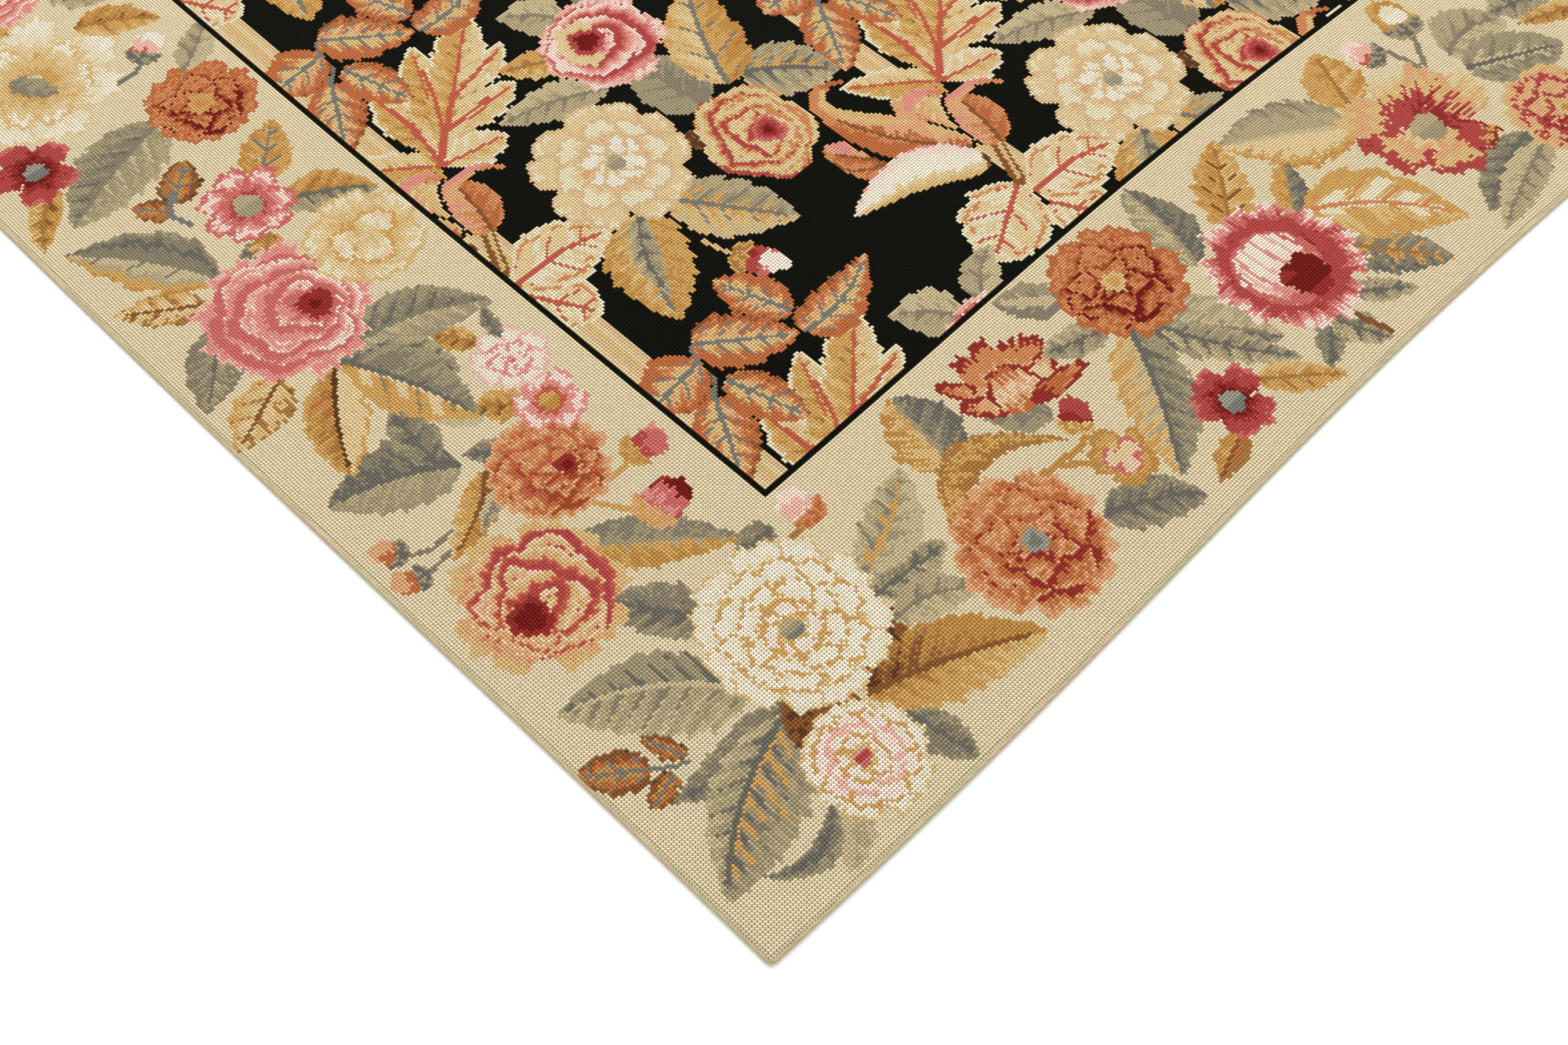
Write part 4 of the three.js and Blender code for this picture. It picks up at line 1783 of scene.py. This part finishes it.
class Wire:
    """An output socket of a shader node, on which Python's operators add Math nodes."""

    def __init__(self, desk: "ShaderDesk", socket: bpy.types.NodeSocket) -> None:
        """Wraps a node's output.

        Args:
            desk: The material being wired.
            socket: The output socket.
        """
        self.desk = desk
        self.socket = socket

    def maths(self, operation: str, *values: Linkable) -> "Wire":
        """Adds one Math node."""
        sockets = dict(zip(("Value", "Value_001", "Value_002"), values))
        return self.desk.node("ShaderNodeMath", {"operation": operation}, sockets)

    def __add__(self, other: Linkable) -> "Wire":
        """This plus a value."""
        return self.maths("ADD", self, other)

    def __radd__(self, other: Linkable) -> "Wire":
        """A value plus this."""
        return self.maths("ADD", other, self)

    def __sub__(self, other: Linkable) -> "Wire":
        """This less a value."""
        return self.maths("SUBTRACT", self, other)

    def __rsub__(self, other: Linkable) -> "Wire":
        """A value less this."""
        return self.maths("SUBTRACT", other, self)

    def __mul__(self, other: Linkable) -> "Wire":
        """This times a value."""
        return self.maths("MULTIPLY", self, other)

    def __rmul__(self, other: Linkable) -> "Wire":
        """A value times this."""
        return self.maths("MULTIPLY", other, self)

    def __truediv__(self, other: Linkable) -> "Wire":
        """This over a value."""
        return self.maths("DIVIDE", self, other)

    def __rtruediv__(self, other: Linkable) -> "Wire":
        """A value over this."""
        return self.maths("DIVIDE", other, self)

    def __gt__(self, other: Linkable) -> "Wire":
        """1 where this is more than a value, and 0 elsewhere."""
        return self.maths("GREATER_THAN", self, other)

    def lesser(self, other: Linkable) -> "Wire":
        """The lesser of this and a value."""
        return self.maths("MINIMUM", self, other)

    def size(self) -> "Wire":
        """This without its sign."""
        return self.maths("ABSOLUTE", self)

    def floor(self) -> "Wire":
        """The whole number below this."""
        return self.maths("FLOOR", self)

    def cosine(self) -> "Wire":
        """The cosine of this angle."""
        return self.maths("COSINE", self)

    def stepped(self, low: float, high: float) -> "Wire":
        """A soft step from 0 at the low value to 1 at the high one.

        Args:
            low: Where the step starts.
            high: Where it ends.

        Returns:
            The step.
        """
        settings = {"interpolation_type": "SMOOTHSTEP"}
        sockets = {"Value": self, "From Min": low, "From Max": high}
        return self.desk.node("ShaderNodeMapRange", settings, sockets)


class ShaderDesk:
    """One material while its nodes are wired."""

    def __init__(self, name: str) -> None:
        """Starts a material with an empty node tree.

        Args:
            name: The material's name.
        """
        self.material = bpy.data.materials.new(name)
        self.material.use_nodes = True
        self.tree = self.material.node_tree
        self.tree.nodes.clear()

    def node(
        self,
        kind: str,
        settings: dict[str, object] | None = None,
        sockets: dict[str, Linkable] | None = None,
        output: str | int = 0,
    ) -> Wire:
        """Adds a node, sets it, and feeds its sockets.

        Args:
            kind: Blender's name of the node type.
            settings: Its own settings, such as an operation. "steps" holds a ramp's colours.
            sockets: Values or wires for its input sockets, by their identifiers.
            output: The wanted output, by identifier or number.

        Returns:
            The wanted output.
        """
        node = self.tree.nodes.new(kind)
        for setting, value in (settings or {}).items():
            if setting == "steps":
                self.set_steps(node.color_ramp, value)
            else:
                setattr(node, setting, value)
        ways_in = {socket.identifier: socket for socket in node.inputs}
        for name, value in (sockets or {}).items():
            if isinstance(value, Wire):
                self.tree.links.new(value.socket, ways_in[name])
            else:
                ways_in[name].default_value = value
        if not node.outputs:
            return Wire(self, None)
        ways_out = {socket.identifier: socket for socket in node.outputs}
        return Wire(self, node.outputs[output] if isinstance(output, int) else ways_out[output])

    @staticmethod
    def set_steps(ramp: bpy.types.ColorRamp, colours: list[tuple[float, ...]]) -> None:
        """Gives a colour ramp one even step, with hard edges, for each colour.

        Args:
            ramp: The ramp of a node.
            colours: Its colours in order.
        """
        ramp.interpolation = "CONSTANT"
        while len(ramp.elements) < len(colours):
            ramp.elements.new(1.0)
        for number, (element, colour) in enumerate(zip(ramp.elements, colours)):
            element.position = number / len(colours)
            element.color = colour

    def mixed(self, factor: Linkable, one: Linkable, other: Linkable, blend: str = "MIX") -> Wire:
        """Mixes two colours.

        Args:
            factor: The other colour's share.
            one: The first colour.
            other: The other colour.
            blend: How they mix.

        Returns:
            The mixed colour.
        """
        settings = {"data_type": "RGBA", "blend_type": blend, "clamp_factor": True}
        sockets = {"Factor_Float": factor, "A_Color": one, "B_Color": other}
        return self.node("ShaderNodeMix", settings, sockets, "Result_Color")

    def shaded(self, colour: Wire, factor: Wire) -> Wire:
        """Makes a colour lighter or darker by a factor."""
        sockets = {"Vector": colour, "Scale": factor}
        return self.node("ShaderNodeVectorMath", {"operation": "SCALE"}, sockets)

    def places(self, map_name: str) -> tuple[Wire, Wire]:
        """The two coordinates of one of the piece's maps.

        Args:
            map_name: The map's name.

        Returns:
            The places in the map.
        """
        flat = self.node("ShaderNodeUVMap", {"uv_map": map_name})
        across = self.node("ShaderNodeSeparateXYZ", {}, {"Vector": flat}, "X")
        along = self.node("ShaderNodeSeparateXYZ", {}, {"Vector": flat}, "Y")
        return across, along

    def noise(self, scale: float, detail: float = 2.0, roughness: float = 0.5) -> Wire:
        """Smooth noise over the piece, from 0 to 1, of so many waves to the metre.

        Args:
            scale: Its fineness.
            detail: Its number of finer layers.
            roughness: The strength of those layers.

        Returns:
            The noise.
        """
        where = self.node("ShaderNodeTexCoord", {}, {}, "Object")
        sockets = {"Vector": where, "Scale": scale, "Detail": detail, "Roughness": roughness}
        return self.node("ShaderNodeTexNoise", {}, sockets)

    def finish(
        self, colour: Wire, roughness: Linkable, height: Wire, distance: float, **constants: float
    ) -> None:
        """Closes the tree with a bump and the surface shader.

        Args:
            colour: The surface's colour.
            roughness: Its roughness.
            height: The height that its bump follows, from 0 to 1.
            distance: How high the bump stands, in metres.
            constants: Values of the shader's other sockets, with _ for a space.
        """
        bump_sockets = {"Strength": 1.0, "Distance": distance, "Height": height}
        normal = self.node("ShaderNodeBump", {}, bump_sockets)
        sockets = {"Base Color": colour, "Roughness": roughness, "Normal": normal}
        sockets.update({name.replace("_", " "): value for name, value in constants.items()})
        shader = self.node("ShaderNodeBsdfPrincipled", {}, sockets)
        self.node("ShaderNodeOutputMaterial", {}, {"Surface": shader})


def linear_colour(hex_code: str) -> tuple[float, float, float, float]:
    """Turns a screen colour such as D9CFAE into the linear values that shaders use.

    Args:
        hex_code: Six hexadecimal digits.

    Returns:
        Red, green, blue and a full alpha.
    """
    levels = [int(hex_code[start:start + 2], 16) / 255 for start in (0, 2, 4)]
    red, green, blue = (
        level / 12.92 if level <= 0.04045 else ((level + 0.055) / 1.055) ** 2.4 for level in levels
    )
    return red, green, blue, 1.0


@dataclass(frozen=True)
class WoolStitches:
    """Slanted wool stitches, each dyed as the chart says, with painted shade in canvas holes and gaps."""

    name: str
    relief: float
    slant: float
    # How much painted shade darkens the canvas holes and the gaps between the slanted yarns
    hole_shade: float
    gap_shade: float
    veil: float = 0.0
    veil_colour: str = "B9AA86"
    selvage: tuple[float, float] | None = None

    BLOCK = CanvasSize.block
    SELVAGE_COLOUR = "CBBB8F"
    ROUGHNESS = 0.9
    SPECULAR = 0.03
    LIFT = 1.21
    STITCH_JITTER = 0.13
    DYE_LOTS = 0.06
    FIBRE_SHADE = 0.16
    FIBRE_RELIEF = 0.12
    # How far the painted shade of the holes leans along the yarns' slant
    HOLE_SLANT = 0.35
    ROUNDING = 0.17
    # The groove just inside the selvage strip: where it lies, how much painted shade darkens it and how
    # deep its bump dips
    GROOVE_AT = 1.5
    GROOVE_SHADE = 0.18
    GROOVE_DEPTH = 0.35
    STRIP_COVER = 0.85
    STRIP_HEIGHT = 0.45
    STRIP_SMOOTHING = 0.7
    STRIP_UNEVENNESS = 0.7

    def yarn_number(self, desk: ShaderDesk, across: Wire, along: Wire) -> Wire:
        """Unpacks the yarn number of the stitch at a place on the canvas.

        Args:
            desk: The material being wired.
            across: Stitches from the left edge.
            along: Stitches from the lower edge.

        Returns:
            The yarn's number.
        """
        column_in, row_in = self.remainder(across.floor()), self.remainder(along.floor())
        packed = [
            desk.node("ShaderNodeAttribute", {"attribute_name": f"shades_row_{number}"}, {}, "Fac")
            for number in range(self.BLOCK)
        ]
        yarns = float(len(Yarn))
        picked = packed[0]
        share = 1.0
        for number in range(1, self.BLOCK):
            picked = picked + (packed[number] - packed[number - 1]) * (row_in > number - 0.5)
            share = share + (yarns**number - yarns ** (number - 1)) * (column_in > number - 0.5)
        shifted = (picked / share).floor()
        return shifted - yarns * (shifted / yarns).floor()

    def remainder(self, count: Wire) -> Wire:
        """Where a stitch lies in its block, from its count along the canvas."""
        block = float(self.BLOCK)
        return count - block * (count / block).floor()

    def make(self) -> bpy.types.Material:
        """Makes the material.

        Returns:
            The finished material.
        """
        desk = ShaderDesk(self.name)
        across, along = desk.places("Canvas")
        number = self.yarn_number(desk, across, along)
        dyes = [linear_colour(yarn.colour) for yarn in Yarn]
        place = (number + 0.5) / len(dyes)
        dyed = desk.node("ShaderNodeValToRGB", {"steps": dyes}, {"Fac": place}, "Color")
        sockets = {"X": across.floor(), "Y": along.floor(), "Z": 0.0}
        stitch_place = desk.node("ShaderNodeCombineXYZ", {}, sockets)
        settings = {"noise_dimensions": "2D"}
        chance = desk.node("ShaderNodeTexWhiteNoise", settings, {"Vector": stitch_place}, "Value")
        cloud = desk.noise(5.0, 3.0, 0.6)
        fibre = desk.noise(900.0, 2.0, 0.7)
        brightness = self.LIFT + self.STITCH_JITTER * (chance - 0.5) + self.DYE_LOTS * (cloud - 0.5)
        brightness = brightness + self.FIBRE_SHADE * (fibre - 0.5)
        # Painted shade: the colour is darkened in the canvas holes at the stitch corners and in the gaps
        # between the slanted yarns, where the bump is low
        corners = (TURN * across).cosine() + (TURN * along).cosine()
        slanted = (TURN * (across + along)).cosine()
        hole = (corners + self.HOLE_SLANT * slanted).stepped(0.2, 2.0)
        gap = 1.0 - self.gap_shade * (0.5 - 0.5 * slanted)
        colour = desk.shaded(dyed, brightness * gap * (1.0 - self.hole_shade * hole))
        if self.veil > 0:
            colour = desk.mixed(self.veil, colour, linear_colour(self.veil_colour))
        height = 0.5 - self.ROUNDING * corners + self.slant * slanted
        height = height + self.FIBRE_RELIEF * (fibre - 0.5)
        if self.selvage is not None:
            wide, long = self.selvage
            inward = across.lesser(wide - across).lesser(along.lesser(long - along))
            inward = inward + self.STRIP_UNEVENNESS * (desk.noise(30.0, 1.0) - 0.5)
            strip = 1.0 - inward.stepped(0.7, 1.1)
            # Painted shade: the colour is darkened along the groove between the selvage strip and the
            # stitches, where the bump dips
            level = strip + (inward - self.GROOVE_AT).size().stepped(0.1, 0.7)
            colour = desk.shaded(colour, 1.0 - self.GROOVE_SHADE + self.GROOVE_SHADE * level)
            colour = desk.mixed(self.STRIP_COVER * strip, colour, linear_colour(self.SELVAGE_COLOUR))
            height = height * (1.0 - self.STRIP_SMOOTHING * strip) + self.STRIP_HEIGHT * strip
            height = height - self.GROOVE_DEPTH * (1.0 - level)
        desk.finish(colour, self.ROUGHNESS, height, self.relief, Specular_IOR_Level=self.SPECULAR)
        return desk.material


@dataclass(frozen=True)
class TurnedCanvas:
    """Bare canvas threads, which show where the cloth turns under and on the hem, with painted shade
    between them.
    """

    name: str
    # light and dark: the ends of the colour mix, which follows the threads (painted shade between them) and
    # uneven tone
    light: str
    dark: str
    threads: float
    relief: float

    ROUGHNESS = 0.85
    SPECULAR = 0.2
    SHEEN = 0.05
    UNEVENNESS = 0.5

    def make(self) -> bpy.types.Material:
        """Makes the material.

        Returns:
            The finished material.
        """
        desk = ShaderDesk(self.name)
        across, along = desk.places("Canvas")
        over = (TURN * self.threads * (across + 0.35 * along)).cosine()
        under = (TURN * self.threads * (along - 0.2 * across)).cosine()
        cloud = desk.noise(14.0, 3.0, 0.6)
        fibre = desk.noise(1400.0, 2.0, 0.7)
        # Painted shade: the colour is lighter on the threads' crests and darker between them, following the
        # same waves as the bump; the cloud and fibre noise give uneven tone
        level = 0.5 + 0.22 * over + 0.18 * under
        level = level + self.UNEVENNESS * (cloud - 0.5) + self.UNEVENNESS * (fibre - 0.5)
        colour = desk.mixed(level, linear_colour(self.dark), linear_colour(self.light))
        height = 0.5 + 0.2 * over + 0.2 * under + 0.2 * (fibre - 0.5)
        desk.finish(
            colour, self.ROUGHNESS, height, self.relief,
            Specular_IOR_Level=self.SPECULAR, Sheen_Weight=self.SHEEN,
        )
        return desk.material


@dataclass(frozen=True)
class PaleFloor:
    """The studio's plain white floor."""

    side: float = 14.0
    shade: tuple[float, float, float, float] = (0.93, 0.93, 0.925, 1.0)
    scuffed: tuple[float, float, float, float] = (0.85, 0.85, 0.85, 1.0)

    SCUFFS = 0.03
    ROUGHNESS = 0.8
    RELIEF = 0.0001

    def build(self) -> bpy.types.Object:
        """Lays the floor under the rug.

        Returns:
            The floor.
        """
        bpy.ops.object.select_all(action="DESELECT")
        bpy.ops.mesh.primitive_plane_add(size=self.side, location=(0.0, 0.0, 0.0))
        floor = bpy.context.active_object
        floor.name = "studio_floor"
        desk = ShaderDesk("pale_floor")
        grain = desk.noise(3.0)
        colour = desk.mixed(self.SCUFFS * grain, self.shade, self.scuffed)
        desk.finish(colour, self.ROUGHNESS, grain, self.RELIEF)
        floor.data.materials.append(desk.material)
        return floor


@dataclass(frozen=True)
class SoftLight:
    """A large square lamp of the studio."""

    name: str
    place: tuple[float, float, float]
    side: float
    power: float
    aim: tuple[float, float, float] = (-0.6, -0.9, 0.0)

    def build(self) -> bpy.types.Object:
        """Hangs the lamp and points it at the rug's near corner.

        Returns:
            The lamp's object.
        """
        lamp = bpy.data.lights.new(self.name, "AREA")
        lamp.shape = "SQUARE"
        lamp.size = self.side
        lamp.energy = self.power
        light = bpy.data.objects.new(self.name, lamp)
        light.location = self.place
        ahead = Vector(self.aim) - light.location
        light.rotation_euler = ahead.to_track_quat("-Z", "Y").to_euler()
        bpy.context.scene.collection.objects.link(light)
        return light


@dataclass(frozen=True)
class PhotoCamera:
    """The camera at the photograph's place and angle, in metres and degrees."""

    place: tuple[float, float, float] = (-1.6163, -1.9503, 1.5573)
    heading: float = 45.205
    down: float = 57.148
    roll: float = 0.014
    lens: float = 46.55
    sensor: float = 36.0

    def build(self) -> bpy.types.Object:
        """Makes the camera and sets it as the scene's.

        Returns:
            The camera's object.
        """
        heading, down, roll = (math.radians(angle) for angle in (self.heading, self.down, self.roll))
        level = math.cos(down)
        ahead = Vector((level * math.cos(heading), level * math.sin(heading), -math.sin(down)))
        level_right = ahead.cross(Vector((0.0, 0.0, 1.0))).normalized()
        level_up = level_right.cross(ahead)
        right = math.cos(roll) * level_right + math.sin(roll) * level_up
        up = right.cross(ahead)
        data = bpy.data.cameras.new("photo_camera")
        data.lens = self.lens
        data.sensor_width = self.sensor
        camera = bpy.data.objects.new("photo_camera", data)
        turned = Matrix((right, up, -ahead)).transposed().to_4x4()
        camera.matrix_world = Matrix.Translation(self.place) @ turned
        bpy.context.scene.collection.objects.link(camera)
        bpy.context.scene.camera = camera
        return camera


class Studio:
    """The floor, the lights and the camera."""

    SKY = 0.78
    SKY_COLOUR = (1.0, 1.0, 1.0, 1.0)
    LIGHTS = (
        SoftLight("key_lamp", (2.4, 5.4, 5.0), 4.0, 470.0),
        SoftLight("fill_lamp", (5.4, 1.4, 4.6), 4.0, 290.0),
    )

    def build(self) -> None:
        """Sets up all of the studio."""
        world = bpy.data.worlds.new("soft_sky")
        world.use_nodes = True
        background = world.node_tree.nodes["Background"]
        background.inputs["Strength"].default_value = self.SKY
        background.inputs["Color"].default_value = self.SKY_COLOUR
        scene = bpy.context.scene
        scene.world = world
        scene.view_settings.view_transform = "Standard"
        PaleFloor().build()
        for light in self.LIGHTS:
            light.build()
        PhotoCamera().build()
        log.info("studio: floor, %d lamps and camera", len(self.LIGHTS))


def rug_finishes(size: CanvasSize) -> dict[Part, bpy.types.Material]:
    """The finish of each part of the sheet.

    Args:
        size: The sizes of the cloth, for the selvage along its edge.

    Returns:
        The material of each part.
    """
    canvas = float(size.stitches_across), float(size.stitches_along)
    # 0.85 and 0.3 here, 0.35 and 0.1 on the reverse: painted shade in the canvas holes and in the gaps
    # between yarns
    face = WoolStitches("wool_face", 0.0019, 0.10, 0.85, 0.3, selvage=canvas)
    reverse = WoolStitches("wool_reverse", 0.0016, 0.22, 0.35, 0.1, veil=0.3)
    # The darker colour of each is reached in the painted shade between the canvas threads and in uneven
    # tone
    edge = TurnedCanvas("turned_edge", "D3C396", "B3A277", 1.0, 0.0004)
    hem = TurnedCanvas("bare_canvas_hem", "D6C49E", "A8926A", 1.0, 0.0006)
    finishes = {Part.FACE: face, Part.EDGE: edge, Part.HEM: hem, Part.REVERSE: reverse}
    return {part: finish.make() for part, finish in finishes.items()}


def main() -> None:
    """Builds the rug and its studio."""
    logging.basicConfig(level=logging.INFO, format="%(message)s")
    size = CanvasSize()
    chart = RugPattern(size.stitches_across, size.stitches_along).whole()
    log.info("chart: %d by %d stitches", size.stitches_across, size.stitches_along)
    NeedlepointRug(size, chart).build(rug_finishes(size))
    Studio().build()


if __name__ == "__main__":
    main()
